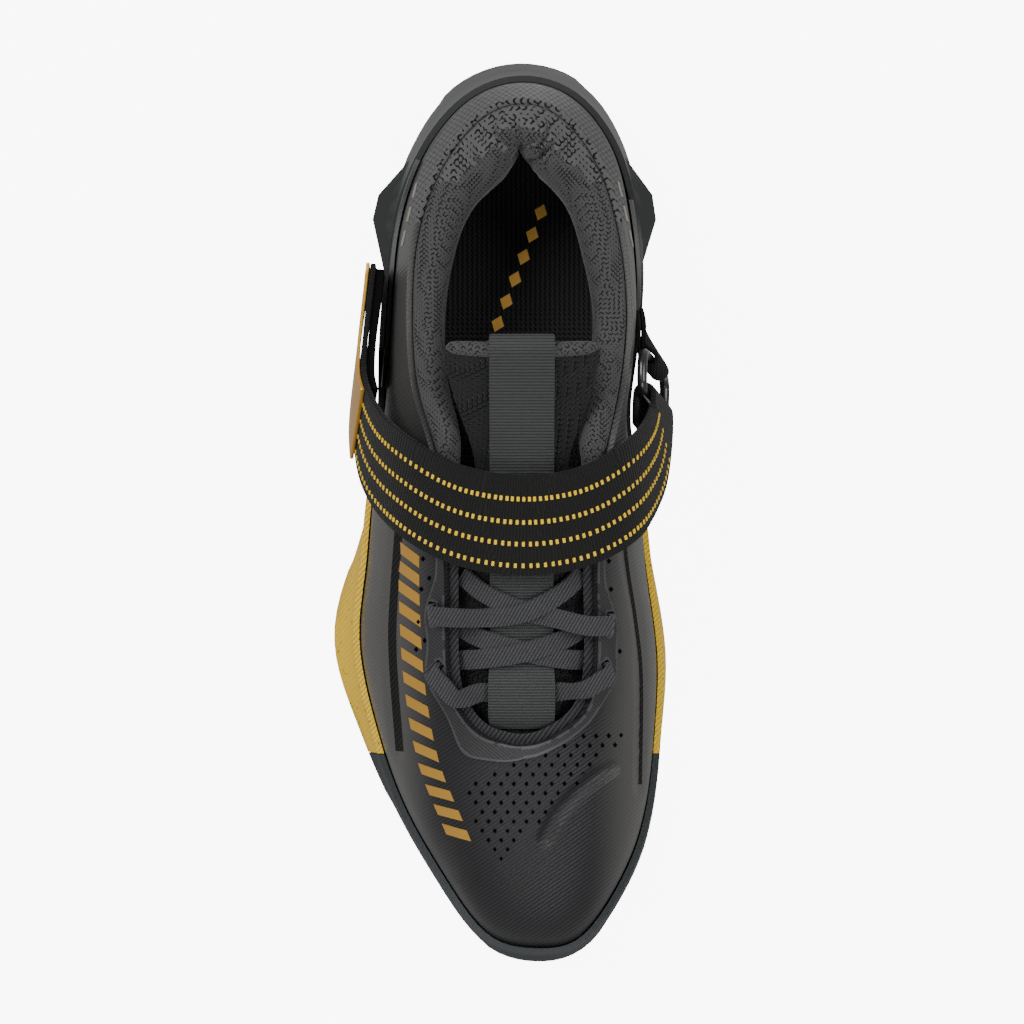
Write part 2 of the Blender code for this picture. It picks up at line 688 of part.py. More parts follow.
def make_tape():
    """The woven tape down the tongue, folded over its free edge as a pull tab."""
    start = tongue_share(TAPE_START)
    rows = []
    for k in range(TAPE_STEPS + 1):
        f = start + (1 - start) * k / TAPE_STEPS
        lift = tape_lift(tongue_line(f)[0])
        rows.append([tongue_point(f, v * TAPE_WIDTH, lift) for v in TAPE_COLUMNS])
    along = tongue_surface(1.0, 0.0) - tongue_surface(0.98, 0.0)
    along /= np.linalg.norm(along)
    normal = (tongue_point(1.0, 0.0, 1.0) - tongue_surface(1.0, 0.0))
    edge = [p + 2 * CLEARANCE * along for p in rows[-1]]
    rows += [edge, *fold_rows(edge, along, normal, TONGUE_THICKNESS / 2 + TAPE_GAP, TAPE_FOLD)]
    ribbon("tongue_tape", rows, TAPE_THICKNESS, "grey_webbing")


# A slot lies at a station, and its lace crosses the throat's rim at another.
Slot = namedtuple("Slot", "name station rim")
SLOTS = [
    Slot("outer_front", 4.42, 4.05), Slot("outer_back", 5.35, 5.35),
    Slot("inner_front", 23.80, 24.02), Slot("inner_back", 22.90, 22.90),
]


def share_from_top(u, distance):
    """The t that lies this far down the upper from the topline."""
    steps = 12
    length = sum(
        np.linalg.norm(upper_point(u, (k + 1) / steps) - upper_point(u, k / steps)) for k in range(steps)
    )
    return 1 - distance / length


def eyestay_width(u):
    """How far the eyestay reaches down from the topline: wider at each slot and round the toe end."""
    u %= STATION_COUNT
    lobes = math.exp(-((u - TOE_LOBE_STATION) / TOE_LOBE_STATIONS) ** 2)
    for slot in SLOTS:
        away = np.linalg.norm(upper_point(u, 1.0) - upper_point(slot.station, 1.0))
        lobes += math.exp(-((away / EYESTAY_LOBE_LENGTH) ** 2))
    return EYESTAY_WIDTH + EYESTAY_LOBE * lobes


def make_eyestay():
    """The raised, scalloped plate round the throat, through which the laces go."""
    rows = []
    reach = EYESTAY_HALF_STATIONS * EYESTAY_STEPS
    for k in range(-reach, reach + 1):
        u = k / EYESTAY_STEPS
        row = []
        for share in (0.0, 0.5, 1.0):
            t = share_from_top(u, share * eyestay_width(u))
            row.append(upper_point(u, t) + CLEARANCE * upper_normal(u, t))
        rows.append(row)
    obj = ribbon("eyestay", rows, EYESTAY_THICKNESS, "coated_textile")
    for slot in SLOTS:
        add_boolean(obj, bpy.data.objects[f"slot_{slot.name}"], "DIFFERENCE")


def slot_frame(slot):
    """The middle of a slot on the upper, the way its lace leaves it, its long direction and the normal."""
    t = share_from_top(slot.station, SLOT_SETBACK)
    place, normal = upper_point(slot.station, t), upper_normal(slot.station, t)
    leaving = upper_point(slot.rim, 1.0) - place
    leaving -= leaving.dot(normal) * normal
    leaving /= np.linalg.norm(leaving)
    return place, leaving, np.cross(normal, leaving), normal


def make_slots(upper):
    """The long holes for the laces, cut through the upper beside the throat."""
    for slot in SLOTS:
        place, *axes = slot_frame(slot)
        turn = Matrix(axes).transposed().to_euler()
        size = (SLOT_WIDTH, SLOT_LENGTH, 4 * UPPER_WALL)
        add_boolean(upper, cutter_box(f"slot_{slot.name}", size, place, turn), "DIFFERENCE")


# A lace's middle line over the tongue: across in TONGUE_HALF_WIDTH from the tongue's middle, along in
# shares of SHOE_LENGTH, and lift of its underside over the tongue in lace thicknesses.
LacePoint = namedtuple("LacePoint", "across along lift")
Lace = namedtuple("Lace", "from_slot points to_slot")
LACES = {
    "lace_bar": [
        Lace("outer_front", [
            LacePoint(-0.46, -0.192, 1.2), LacePoint(0.0, -0.201, 0.2), LacePoint(0.46, -0.191, 1.2),
        ], "inner_front"),
    ],
    "lace_crossing_lower": [
        Lace(None, [
            LacePoint(-0.78, -0.160, 0.1), LacePoint(-0.5, -0.157, 1.5), LacePoint(0.0, -0.148, 2.6),
            LacePoint(0.5, -0.135, 1.3), LacePoint(0.80, -0.121, 0.1),
        ], None),
        Lace(None, [
            LacePoint(-0.80, -0.121, 0.1), LacePoint(-0.5, -0.133, 1.3), LacePoint(0.0, -0.147, 1.8),
            LacePoint(0.5, -0.157, 1.5), LacePoint(0.78, -0.160, 0.1),
        ], None),
    ],
    "lace_crossing_upper": [
        Lace("outer_back", [
            LacePoint(-0.35, -0.110, 1.8), LacePoint(0.05, -0.103, 2.4), LacePoint(0.5, -0.082, 1.3),
            LacePoint(0.72, -0.065, 0.1),
        ], None),
        Lace(None, [
            LacePoint(-0.72, -0.067, 0.1), LacePoint(-0.45, -0.084, 1.3), LacePoint(0.0, -0.103, 1.5),
            LacePoint(0.35, -0.110, 1.8),
        ], "inner_back"),
    ],
}


def slot_way(name):
    """A lace's way out of a slot, from inside the wall, over the eyestay and the rim, past the binding.
    Each step is a point and the direction that the lace's upper side faces there."""
    slot = next(slot for slot in SLOTS if slot.name == name)
    place, leaving, _, normal = slot_frame(slot)
    place = place + LACE_THICKNESS / 2 * leaving
    rim, rim_normal = upper_point(slot.rim, 1.0), upper_normal(slot.rim, 1.0)
    above = EYESTAY_THICKNESS + 4 * CLEARANCE
    onward = leaving - rim_normal.dot(leaving) * rim_normal
    onward *= (THROAT_OVERHANG + 6 * CLEARANCE) / np.linalg.norm(onward)
    return [
        (place - UPPER_WALL / 2 * normal, -leaving),
        (place + (above + CLEARANCE) * normal, normal - leaving),
        (rim + (above + CLEARANCE) * rim_normal, rim_normal),
        (rim + onward + above * rim_normal, rim_normal),
    ]


def lace_strand(name, lace):
    """One flat strand along its points."""
    way = []
    for p in lace.points:
        f, x = tongue_share(p.along * SHOE_LENGTH), p.across * TONGUE_HALF_WIDTH
        at = tongue_point(f, x, CLEARANCE + p.lift * LACE_THICKNESS)
        way.append((at, tongue_point(f, x, 1.0) - tongue_surface(f, x)))
    if lace.from_slot:
        way = slot_way(lace.from_slot) + way
    if lace.to_slot:
        way += reversed(slot_way(lace.to_slot))
    line, facing = ([step[n] for step in way] for n in (0, 1))
    rows = []
    count = LACE_STEPS * (len(line) - 1)
    for k in range(count + 1):
        f = k / count
        at = route_value(line, f)
        along = route_value(line, min(f + 0.01, 1.0)) - route_value(line, max(f - 0.01, 0.0))
        across = np.cross(curve_value(facing, f), along)
        across *= LACE_WIDTH / 2 / np.linalg.norm(across)
        rows.append([at - across, at + across])
    return ribbon(name, rows, LACE_THICKNESS, "grey_webbing")


def make_laces():
    """A bar at the toe end of the throat and two crossings, each one joined piece."""
    for name, laces in LACES.items():
        whole = lace_strand(name, laces[0])
        for n, lace in enumerate(laces[1:]):
            other = lace_strand(f"{name}_{n}", lace)
            SHOE.objects.unlink(other)
            CUTTERS.objects.link(other)
            other.hide_render = True
            other.display_type = "WIRE"
            add_boolean(whole, other, "UNION")


# The strap's middle line from its free end on the outer side to the ring: x in shares of UPPER_WIDTH,
# y of SHOE_LENGTH, z of COLLAR_HEIGHT, and how much it leans towards the toe.
StrapPoint = namedtuple("StrapPoint", "x y z lean")
STRAP_LINE = [
    StrapPoint(-0.403, 0.262, 0.51, 0.00), StrapPoint(-0.438, 0.165, 0.53, 0.00),
    StrapPoint(-0.444, 0.108, 0.59, 0.05), StrapPoint(-0.400, 0.062, 0.71, 0.18),
    StrapPoint(-0.295, 0.026, 0.845, 0.30), StrapPoint(-0.130, -0.004, 0.902, 0.36),
    StrapPoint(0.068, -0.015, 0.910, 0.38), StrapPoint(0.260, -0.006, 0.900, 0.36),
    StrapPoint(0.410, 0.022, 0.84, 0.30), StrapPoint(0.485, 0.056, 0.70, 0.18),
    StrapPoint(0.510, 0.088, 0.61, 0.05), StrapPoint(0.514, 0.115, 0.59, 0.00),
]


def strap_frame(f):
    """A point of the strap's underside at f, the direction along it and the direction it faces."""
    line = [(p.x * UPPER_WIDTH, p.y * SHOE_LENGTH, p.z * COLLAR_HEIGHT) for p in STRAP_LINE]
    at = curve_value(line, f)
    along = curve_value(line, min(f + 0.02, 1.0)) - curve_value(line, max(f - 0.02, 0.0))
    along /= np.linalg.norm(along)
    lean = curve_value([(p.lean,) for p in STRAP_LINE], f)[0]
    side = (at[0] - TONGUE_MIDDLE) / (UPPER_WIDTH / 2)
    rise = max(at[2] / COLLAR_HEIGHT - 0.5, 0.0) * 2
    out = np.array((side, -lean, rise))
    out -= out.dot(along) * along
    return at, along, out / np.linalg.norm(out)


def strap_row(f, lift, columns):
    """Points across the strap at f, lifted off its underside."""
    at, along, out = strap_frame(f)
    across = np.cross(out, along)
    return [at + lift * out + v * STRAP_WIDTH / 2 * across for v in columns]


def fold_rows(edge, along, out, radius, length, first=30):
    """Rows that turn a ribbon's end back under itself round a bar, from a first angle in degrees to
    half a turn, and run on for a length."""
    rows = []
    for angle in np.radians(np.linspace(first, 180, 6)):
        shift = radius * (math.cos(angle) - 1) * out + radius * math.sin(angle) * along
        rows.append([p + shift for p in edge])
    rows.append([p - 2 * radius * out - length * along for p in edge])
    return rows


def make_strap():
    """The elastic strap over the instep, folded round the ring's front bar."""
    columns = (-1.0, -0.33, 0.33, 1.0)
    rows = [strap_row(k / STRAP_STEPS, 0.0, columns) for k in range(STRAP_STEPS + 1)]
    at, along, out = strap_frame(1.0)
    rows += fold_rows(rows[-1], along, out, RING_WIRE / 2 + CLEARANCE, STRAP_FOLD)
    ribbon("strap", rows, STRAP_THICKNESS, "black_elastic")
    lift = STRAP_THICKNESS + CLEARANCE
    rows = [strap_row(TAB_SHARE * k / TAB_STEPS, lift, columns) for k in range(TAB_STEPS + 1)]
    ribbon("strap_end_tab", rows, TAB_THICKNESS, "gold_film")


def make_ring():
    """The loop of wire that joins the strap to its anchor, and the anchor's folded webbing."""
    at, along, out = strap_frame(1.0)
    across = np.cross(out, along)
    bar = RING_WIRE / 2 + CLEARANCE
    front = at - bar * out
    half = STRAP_WIDTH / 2 + RING_CORNER
    corner = RING_CORNER
    corners = [(0.0, -half), (RING_DEPTH, -half), (RING_DEPTH, half), (0.0, half)]
    path = []
    for n, (u, v) in enumerate(corners):
        middle_u = corner if u == 0.0 else RING_DEPTH - corner
        middle_v = math.copysign(half - corner, v)
        start = math.radians(180 + 90 * n)
        for k in range(5):
            angle = start + math.radians(22.5 * k)
            path.append((middle_u + corner * math.cos(angle), middle_v + corner * math.sin(angle)))
    curve = bpy.data.curves.new("strap_ring", "CURVE")
    curve.dimensions = "3D"
    curve.bevel_depth = RING_WIRE / 2
    curve.bevel_resolution = 2
    line = curve.splines.new("POLY")
    line.use_cyclic_u = True
    line.points.add(len(path) - 1)
    for point, (u, v) in zip(line.points, path):
        point.co = (*(front + u * along + v * across), 1.0)
    finish(bpy.data.objects.new("strap_ring", curve), "smoked_plastic")
    rear = front + RING_DEPTH * along
    columns = (1.0, 0.0, -1.0)
    start = [rear + bar * out + v * ANCHOR_WIDTH / 2 * across for v in columns]
    step = ANCHOR_THICKNESS + CLEARANCE
    stations = (ANCHOR_STATION, ANCHOR_STATION + ANCHOR_STATIONS)
    outer = [anchor_seat(u, start, CLEARANCE + step) for u in stations]
    inner = [anchor_seat(u, start, step) for u in reversed(stations)]
    rows = [*outer, *fold_rows(start, -along, out, bar, RING_WIRE / 2, -40), *inner]
    ribbon("ring_webbing", rows, ANCHOR_THICKNESS, "black_elastic")


def anchor_seat(u, start, lift):
    """Points of the upper's side at a station, at the heights of the anchor's edge, lifted off it."""
    seat = []
    for point in start:
        t = share_at_height(u, point[2] - foot_point(u)[2])
        seat.append(upper_point(u, t) + lift * upper_normal(u, t))
    return seat


def stand_on_origin():
    """Moves everything so that the shoe's box stands centred on the origin."""
    bpy.context.view_layer.update()
    graph = bpy.context.evaluated_depsgraph_get()
    points = [v.co for obj in SHOE.objects for v in obj.evaluated_get(graph).to_mesh().vertices]
    low, high = np.min(points, axis=0), np.max(points, axis=0)
    shift = Vector((-(low[0] + high[0]) / 2, -(low[1] + high[1]) / 2, -low[2]))
    for obj in (*SHOE.objects, *CUTTERS.objects):
        obj.location += shift


def main():
    """Builds the shoe."""
    upper = make_upper()
    make_slots(upper)
    make_eyestay()
    make_sole()
    make_insole()
    make_collar()
    make_tongue()
    make_tape()
    make_laces()
    make_strap()
    make_ring()
    stand_on_origin()


for old in list(bpy.data.objects):
    bpy.data.objects.remove(old, do_unlink=True)
SHOE = bpy.data.collections.new("weightlifting_shoe")
CUTTERS = bpy.data.collections.new("cutters")
bpy.context.scene.collection.children.link(SHOE)
bpy.context.scene.collection.children.link(CUTTERS)
main()
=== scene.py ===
"""Looks of a right weightlifting shoe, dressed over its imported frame.

The toe points along -Y, the heel along +Y and the big-toe side is +X. Lengths are metres.
"""

from __future__ import annotations

import logging
import math
from collections.abc import Callable
from dataclasses import dataclass, field
from enum import Enum

import bmesh
import bpy
import numpy as np
from mathutils import Matrix, Vector
from mathutils.bvhtree import BVHTree
from mathutils.kdtree import KDTree

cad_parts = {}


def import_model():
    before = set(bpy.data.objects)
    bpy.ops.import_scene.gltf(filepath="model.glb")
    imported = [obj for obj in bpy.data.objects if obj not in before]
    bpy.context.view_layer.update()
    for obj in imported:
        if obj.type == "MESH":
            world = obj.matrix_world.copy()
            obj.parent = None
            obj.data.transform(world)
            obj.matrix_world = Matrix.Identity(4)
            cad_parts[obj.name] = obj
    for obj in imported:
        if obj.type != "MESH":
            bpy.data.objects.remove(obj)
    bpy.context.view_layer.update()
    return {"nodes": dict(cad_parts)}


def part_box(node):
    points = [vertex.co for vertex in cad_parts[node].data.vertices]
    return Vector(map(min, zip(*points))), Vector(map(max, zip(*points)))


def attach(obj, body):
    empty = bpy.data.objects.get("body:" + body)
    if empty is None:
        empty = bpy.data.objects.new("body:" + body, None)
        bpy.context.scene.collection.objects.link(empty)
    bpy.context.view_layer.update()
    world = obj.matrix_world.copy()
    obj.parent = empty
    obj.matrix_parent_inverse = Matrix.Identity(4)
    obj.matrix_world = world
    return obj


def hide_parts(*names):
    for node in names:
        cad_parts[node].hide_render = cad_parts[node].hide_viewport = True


LOG = logging.getLogger("weightlifting_shoe")
MM = 0.001
BODY = "root"
# How thick a printed or pressed film is.
FILM_MM = 0.15
# The height in metres that a point is dropped from, well above the shoe.
DROP_HEIGHT = 0.4
# A wave texture of scale 1 has this many bands in a length of 1.
BANDS_PER_UNIT = 20.0 / (2 * math.pi)
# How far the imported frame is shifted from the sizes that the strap's route is given in.
SHIFT_MM = (-0.19, -0.09)
# The strap's middle line from its free end to the ring, before that shift, in mm, with its lean.
STRAP_ROUTE_MM = (
    (-40.3, 78.6, 51.0, 0.00), (-43.8, 49.5, 53.0, 0.00), (-44.4, 32.4, 59.0, 0.05),
    (-40.0, 18.6, 71.0, 0.18), (-29.5, 7.8, 84.5, 0.30), (-13.0, -1.2, 90.2, 0.36),
    (6.8, -4.5, 91.0, 0.38), (26.0, -1.8, 90.0, 0.36), (41.0, 6.6, 84.0, 0.30),
    (48.5, 16.8, 70.0, 0.18), (51.0, 26.4, 61.0, 0.05), (51.4, 34.5, 59.0, 0.00),
)
# The middle of the strap and the tongue, and the middle from which the upper's painted side light grows.
MIDDLE_X = 6.6 * MM
SIDE_LIGHT_MIDDLE_X = 4.5 * MM

# Height and shade of a pattern.
Sockets = tuple[bpy.types.NodeSocket, bpy.types.NodeSocket]


class Pattern(Enum):
    """How a finish's surface is made."""

    TWILL = "diagonal woven ribs"
    KNIT = "spacer knit with holes"
    MESH = "open mesh with slanted holes"
    ACROSS = "ribs across a tape"
    ZIGZAG = "flat braid"
    STRAP = "ribs across an elastic strap, by its own map"
    GRAIN = "fine moulded grain"
    FOAM = "ribbed foam with specks"
    PLAIN = "smooth"


def linear(code: str) -> tuple[float, float, float, float]:
    """Turns an sRGB hex colour to linear.

    Args:
        code: Six hex digits, with or without a hash sign.

    Returns:
        Red, green, blue and alpha.
    """
    code = code.lstrip("#")
    parts = [int(code[n : n + 2], 16) / 255 for n in (0, 2, 4)]
    red, green, blue = (c / 12.92 if c <= 0.04045 else ((c + 0.055) / 1.055) ** 2.4 for c in parts)
    return red, green, blue, 1.0


def add_node(tree: bpy.types.NodeTree, kind: str, settings: dict | None = None,
             values: dict | None = None, links: dict | None = None) -> bpy.types.Node:
    """Adds one node.

    Args:
        tree: The material's node tree.
        kind: Blender's name of the node's type.
        settings: Properties of the node.
        values: Values of its inputs, by name or number.
        links: Outputs of other nodes that feed its inputs, by name or number.

    Returns:
        The node.
    """
    node = tree.nodes.new(kind)
    for name, value in (settings or {}).items():
        setattr(node, name, value)
    for name, value in (values or {}).items():
        node.inputs[name].default_value = value
    for name, output in (links or {}).items():
        tree.links.new(output, node.inputs[name])
    return node


@dataclass(frozen=True)
class Finish:
    """One surface: its colours, its pattern and how it takes light.

    Attributes:
        name: The material's name.
        slot: The kind of surface that it belongs to; it is not used.
        pattern: How its surface is made.
        base: Its main colour, as sRGB hex.
        shade: The colour of its ribs, grain or holes.
        pitch_mm: From one rib, hole or grain to the next.
        depth_mm: How deep the pattern is.
        roughness: The shader's roughness, before clouds of wear.
        metallic: The shader's metallic value.
        coat: The shader's coat weight.
        sheen: The shader's sheen weight.
        specular: The shader's specular level.
        turn_deg: How far the pattern is turned about the upright.
        transmission: The shader's transmission weight.
        side: A paler colour, painted light where both sides of the shoe catch more light, or nothing.
        side_mm: Where that painted light starts and is full, from the middle.
    """

    name: str
    slot: str
    pattern: Pattern
    base: str
    shade: str
    pitch_mm: float = 1.0
    depth_mm: float = 0.2
    roughness: float = 0.6
    metallic: float = 0.0
    coat: float = 0.0
    sheen: float = 0.0
    specular: float = 0.5
    turn_deg: float = 0.0
    transmission: float = 0.0
    side: str = ""
    side_mm: tuple[float, float] = (24.0, 40.0)

    def build(self) -> bpy.types.Material:
        """Makes the material, or gives the one that is there.

        Returns:
            The material.
        """
        made = bpy.data.materials.get(self.name)
        if made is not None:
            return made
        made = bpy.data.materials.new(self.name)
        made.use_nodes = True
        tree = made.node_tree
        shader = tree.nodes["Principled BSDF"]
        shader.inputs["Metallic"].default_value = self.metallic
        shader.inputs["Coat Weight"].default_value = self.coat
        shader.inputs["Coat Roughness"].default_value = 0.25
        shader.inputs["Sheen Weight"].default_value = self.sheen
        shader.inputs["Sheen Roughness"].default_value = 0.45
        shader.inputs["Specular IOR Level"].default_value = self.specular
        shader.inputs["Transmission Weight"].default_value = self.transmission
        height, mask = self.pattern_nodes(tree)
        where = add_node(tree, "ShaderNodeTexCoord").outputs["Object"]
        clouds = add_node(tree, "ShaderNodeTexNoise", None, {"Scale": 45.0, "Detail": 4.0}, {"Vector": where})
        blend = add_node(tree, "ShaderNodeMath", {"operation": "MULTIPLY_ADD"}, {1: 0.25, 2: -0.125},
                         {0: clouds.outputs["Fac"]})
        share = add_node(tree, "ShaderNodeMath", {"operation": "ADD", "use_clamp": True}, None,
                         {0: mask, 1: blend.outputs[0]})
        colour = add_node(tree, "ShaderNodeMix", {"data_type": "RGBA"},
                          {6: linear(self.base), 7: linear(self.shade)}, {0: share.outputs[0]})
        # The paler colour towards both sides is painted light where the sides catch more light.
        colour_with_side_light = self.painted_side_light_nodes(tree, where, colour.outputs[2]) if self.side else colour.outputs[2]
        tree.links.new(colour_with_side_light, shader.inputs["Base Color"])
        rough = add_node(tree, "ShaderNodeMath", {"operation": "MULTIPLY_ADD", "use_clamp": True},
                         {1: 0.12, 2: self.roughness - 0.06}, {0: clouds.outputs["Fac"]})
        tree.links.new(rough.outputs[0], shader.inputs["Roughness"])
        relief = add_node(tree, "ShaderNodeBump", None, {"Strength": 1.0, "Distance": self.depth_mm * MM},
                          {"Height": height})
        tree.links.new(relief.outputs[0], shader.inputs["Normal"])
        return made

    def painted_side_light_nodes(self, tree: bpy.types.NodeTree, where: bpy.types.NodeSocket,
                   colour: bpy.types.NodeSocket) -> bpy.types.NodeSocket:
        """Paints light on the sides: turns the colour to a paler side colour towards both sides of the shoe.

        Args:
            tree: The material's node tree.
            where: Object coordinates.
            colour: The colour at the middle.

        Returns:
            The mixed colour.
        """
        parts = add_node(tree, "ShaderNodeSeparateXYZ", None, None, {0: where})
        away = add_node(tree, "ShaderNodeMath", {"operation": "SUBTRACT"}, {1: SIDE_LIGHT_MIDDLE_X},
                        {0: parts.outputs["X"]})
        size = add_node(tree, "ShaderNodeMath", {"operation": "ABSOLUTE"}, None, {0: away.outputs[0]})
        share = add_node(tree, "ShaderNodeMapRange", {"interpolation_type": "SMOOTHSTEP"},
                         {"From Min": self.side_mm[0] * MM, "From Max": self.side_mm[1] * MM},
                         {"Value": size.outputs[0]})
        mixed = add_node(tree, "ShaderNodeMix", {"data_type": "RGBA"}, {7: linear(self.side)},
                         {0: share.outputs[0], 6: colour})
        return mixed.outputs[2]

    def pattern_nodes(self, tree: bpy.types.NodeTree) -> Sockets:
        """Adds the nodes of the pattern.

        Args:
            tree: The material's node tree.

        Returns:
            Its height, and how much of the shade colour lies over the base, both from 0 to 1.
        """
        source = "UV" if self.pattern is Pattern.STRAP else "Object"
        where = add_node(tree, "ShaderNodeTexCoord").outputs[source]
        turned = add_node(tree, "ShaderNodeMapping", None,
                          {"Rotation": (0.0, 0.0, math.radians(self.turn_deg))}, {"Vector": where}).outputs[0]
        if self.pattern in (Pattern.TWILL, Pattern.ACROSS, Pattern.STRAP, Pattern.ZIGZAG):
            return self.rib_nodes(tree, turned)
        if self.pattern in (Pattern.KNIT, Pattern.MESH):
            return self.hole_nodes(tree, turned)
        if self.pattern is Pattern.FOAM:
            return self.foam_nodes(tree, turned)
        grain = add_node(tree, "ShaderNodeTexNoise", None, {"Scale": 1 / (self.pitch_mm * MM), "Detail": 3.0},
                         {"Vector": turned}).outputs["Fac"]
        low = add_node(tree, "ShaderNodeMath", {"operation": "MULTIPLY"}, {1: 0.35}, {0: grain}).outputs[0]
        return grain, low

    def rib_nodes(self, tree: bpy.types.NodeTree, where: bpy.types.NodeSocket) -> Sockets:
        """Ribs, one crest for each pitch, crossed by a finer thread.

        Args:
            tree: The material's node tree.
            where: Turned coordinates.

        Returns:
            Height and shade, both from 0 to 1.
        """
        direction = "Y" if self.pattern is Pattern.ACROSS else "X"
        period = self.pitch_mm * MM * BANDS_PER_UNIT
        ribs = add_node(tree, "ShaderNodeTexWave", {"bands_direction": direction},
                        {"Scale": 1 / period, "Distortion": 0.3, "Detail": 1.0, "Detail Scale": 2.0},
                        {"Vector": where}).outputs["Fac"]
        cross = "X" if self.pattern is Pattern.ACROSS else "Y"
        thread = add_node(tree, "ShaderNodeTexWave", {"bands_direction": cross},
                          {"Scale": 1 / (0.6 * period), "Distortion": 0.4},
                          {"Vector": where}).outputs["Fac"]
        soft = add_node(tree, "ShaderNodeMath", {"operation": "MULTIPLY"}, {1: 0.35}, {0: thread}).outputs[0]
        height = add_node(tree, "ShaderNodeMath", {"operation": "ADD"}, None, {0: ribs, 1: soft}).outputs[0]
        return height, ribs

    def hole_nodes(self, tree: bpy.types.NodeTree, where: bpy.types.NodeSocket) -> Sockets:
        """Loops with a dark hole between them: three crossed waves, even on a surface that faces any way.

        Args:
            tree: The material's node tree.
            where: Turned coordinates.

        Returns:
            Height and shade, both from 0 to 1.
        """
        pace = 2 * math.pi / (self.pitch_mm * MM)
        stretch = (pace, pace, pace) if self.pattern is Pattern.KNIT else (1.3 * pace, 0.75 * pace, pace)
        scaled = add_node(tree, "ShaderNodeMapping", None, {"Scale": stretch}, {"Vector": where}).outputs[0]
        parts = add_node(tree, "ShaderNodeSeparateXYZ", None, None, {0: scaled}).outputs
        total = None
        for first, second in (("X", "Y"), ("Y", "Z"), ("Z", "X")):
            sine = add_node(tree, "ShaderNodeMath", {"operation": "SINE"}, None, {0: parts[first]})
            cosine = add_node(tree, "ShaderNodeMath", {"operation": "COSINE"}, None, {0: parts[second]})
            term = add_node(tree, "ShaderNodeMath", {"operation": "MULTIPLY"}, None,
                            {0: sine.outputs[0], 1: cosine.outputs[0]}).outputs[0]
            if total is not None:
                term = add_node(tree, "ShaderNodeMath", {"operation": "ADD"}, None,
                                {0: term, 1: total}).outputs[0]
            total = term
        hole = add_node(tree, "ShaderNodeMapRange", {"interpolation_type": "SMOOTHSTEP"},
                        {"From Min": 0.45, "From Max": 1.15}, {"Value": total}).outputs[0]
        height = add_node(tree, "ShaderNodeMath", {"operation": "SUBTRACT"}, {0: 1.0}, {1: hole}).outputs[0]
        return height, hole

    def foam_nodes(self, tree: bpy.types.NodeTree, where: bpy.types.NodeSocket) -> Sockets:
        """Fine moulded ribs with dark specks scattered between them.

        Args:
            tree: The material's node tree.
            where: Turned coordinates.

        Returns:
            Height and shade, both from 0 to 1.
        """
        ribs = add_node(tree, "ShaderNodeTexWave", {"bands_direction": "X"},
                        {"Scale": 1 / (self.pitch_mm * MM * BANDS_PER_UNIT), "Distortion": 0.6},
                        {"Vector": where}).outputs["Fac"]
        specks = add_node(tree, "ShaderNodeTexNoise", None, {"Scale": 420.0, "Detail": 2.0},
                          {"Vector": where}).outputs["Fac"]
        dark = add_node(tree, "ShaderNodeMapRange", None, {"From Min": 0.66, "From Max": 0.72},
                        {"Value": specks}).outputs[0]
        soft = add_node(tree, "ShaderNodeMath", {"operation": "MULTIPLY_ADD", "use_clamp": True},
                        {1: 0.18}, {0: ribs, 2: dark}).outputs[0]
        return ribs, soft


# Patterns that are too fine to show from the camera's distance are drawn coarser than the real ones, as
# each comment says.

# Coated polyester twill: diagonal ribs with a soft satin film on their crests. Real ribs are about 0.5 mm
# apart. Its paler side colour is painted light, where the sides catch more light.
TEXTILE = Finish("coated_polyester_twill", "coated_textile", Pattern.TWILL, "#131315", "#28282b",
                 pitch_mm=1.15, depth_mm=0.09, roughness=0.42, sheen=0.05, specular=0.4, turn_deg=55.0,
                 side="#4c4b49")
# The same film moulded smooth over the eyestay plate, and its paler cut edge. Real ribs are 0.5 mm apart.
PLATE = Finish("fused_film_plate", "coated_textile", Pattern.TWILL, "#1c1c1e", "#303032",
               pitch_mm=0.9, depth_mm=0.05, roughness=0.45, sheen=0.05, turn_deg=-50.0)
PLATE_EDGE = Finish("cut_film_edge", "coated_textile", Pattern.GRAIN, "#434345", "#363638",
                    pitch_mm=0.8, depth_mm=0.03, roughness=0.4)
# Polyester spacer knit: matte loops with small dark holes. Real loops are about 1 mm apart, and the
# coarser ones at the collar's back 1.5 mm.
KNIT = Finish("polyester_spacer_knit", "grey_knit", Pattern.KNIT, "#474747", "#0b0b0b",
              pitch_mm=1.5, depth_mm=0.35, roughness=0.9, sheen=0.2, specular=0.25)
COARSE_KNIT = Finish("coarse_spacer_knit", "grey_knit", Pattern.KNIT, "#565656", "#040404",
                     pitch_mm=2.2, depth_mm=0.7, roughness=0.9, sheen=0.2, specular=0.25)
# Knitted binding: a matte zigzag. Real stitches are about 0.8 mm apart.
BINDING = Finish("knitted_edge_binding", "grey_knit", Pattern.ZIGZAG, "#1f1f21", "#434346",
                 pitch_mm=1.3, depth_mm=0.4, roughness=0.9, sheen=0.15, specular=0.25, turn_deg=35.0)
# Open polyester mesh: black, with slanted dark gaps. Real gaps are about 1.5 mm apart.
MESH = Finish("open_polyester_mesh", "black_mesh", Pattern.MESH, "#202021", "#020202",
              pitch_mm=2.3, depth_mm=0.7, roughness=0.85, sheen=0.1, specular=0.25, turn_deg=35.0)
# Woven polyester tape: cross ribs that catch a dull light. Real ribs are about 0.6 mm apart.
TAPE = Finish("woven_polyester_tape", "grey_webbing", Pattern.ACROSS, "#2a2b2b", "#464848",
              pitch_mm=0.95, depth_mm=0.15, roughness=0.75, sheen=0.1, specular=0.3)
# Braided polyester lace: flat and matte. Real plaits are about 0.7 mm apart.
LACE = Finish("braided_flat_lace", "grey_webbing", Pattern.ZIGZAG, "#2c2c2e", "#505053",
              pitch_mm=1.0, depth_mm=0.25, roughness=0.85, sheen=0.15, specular=0.25, turn_deg=30.0)
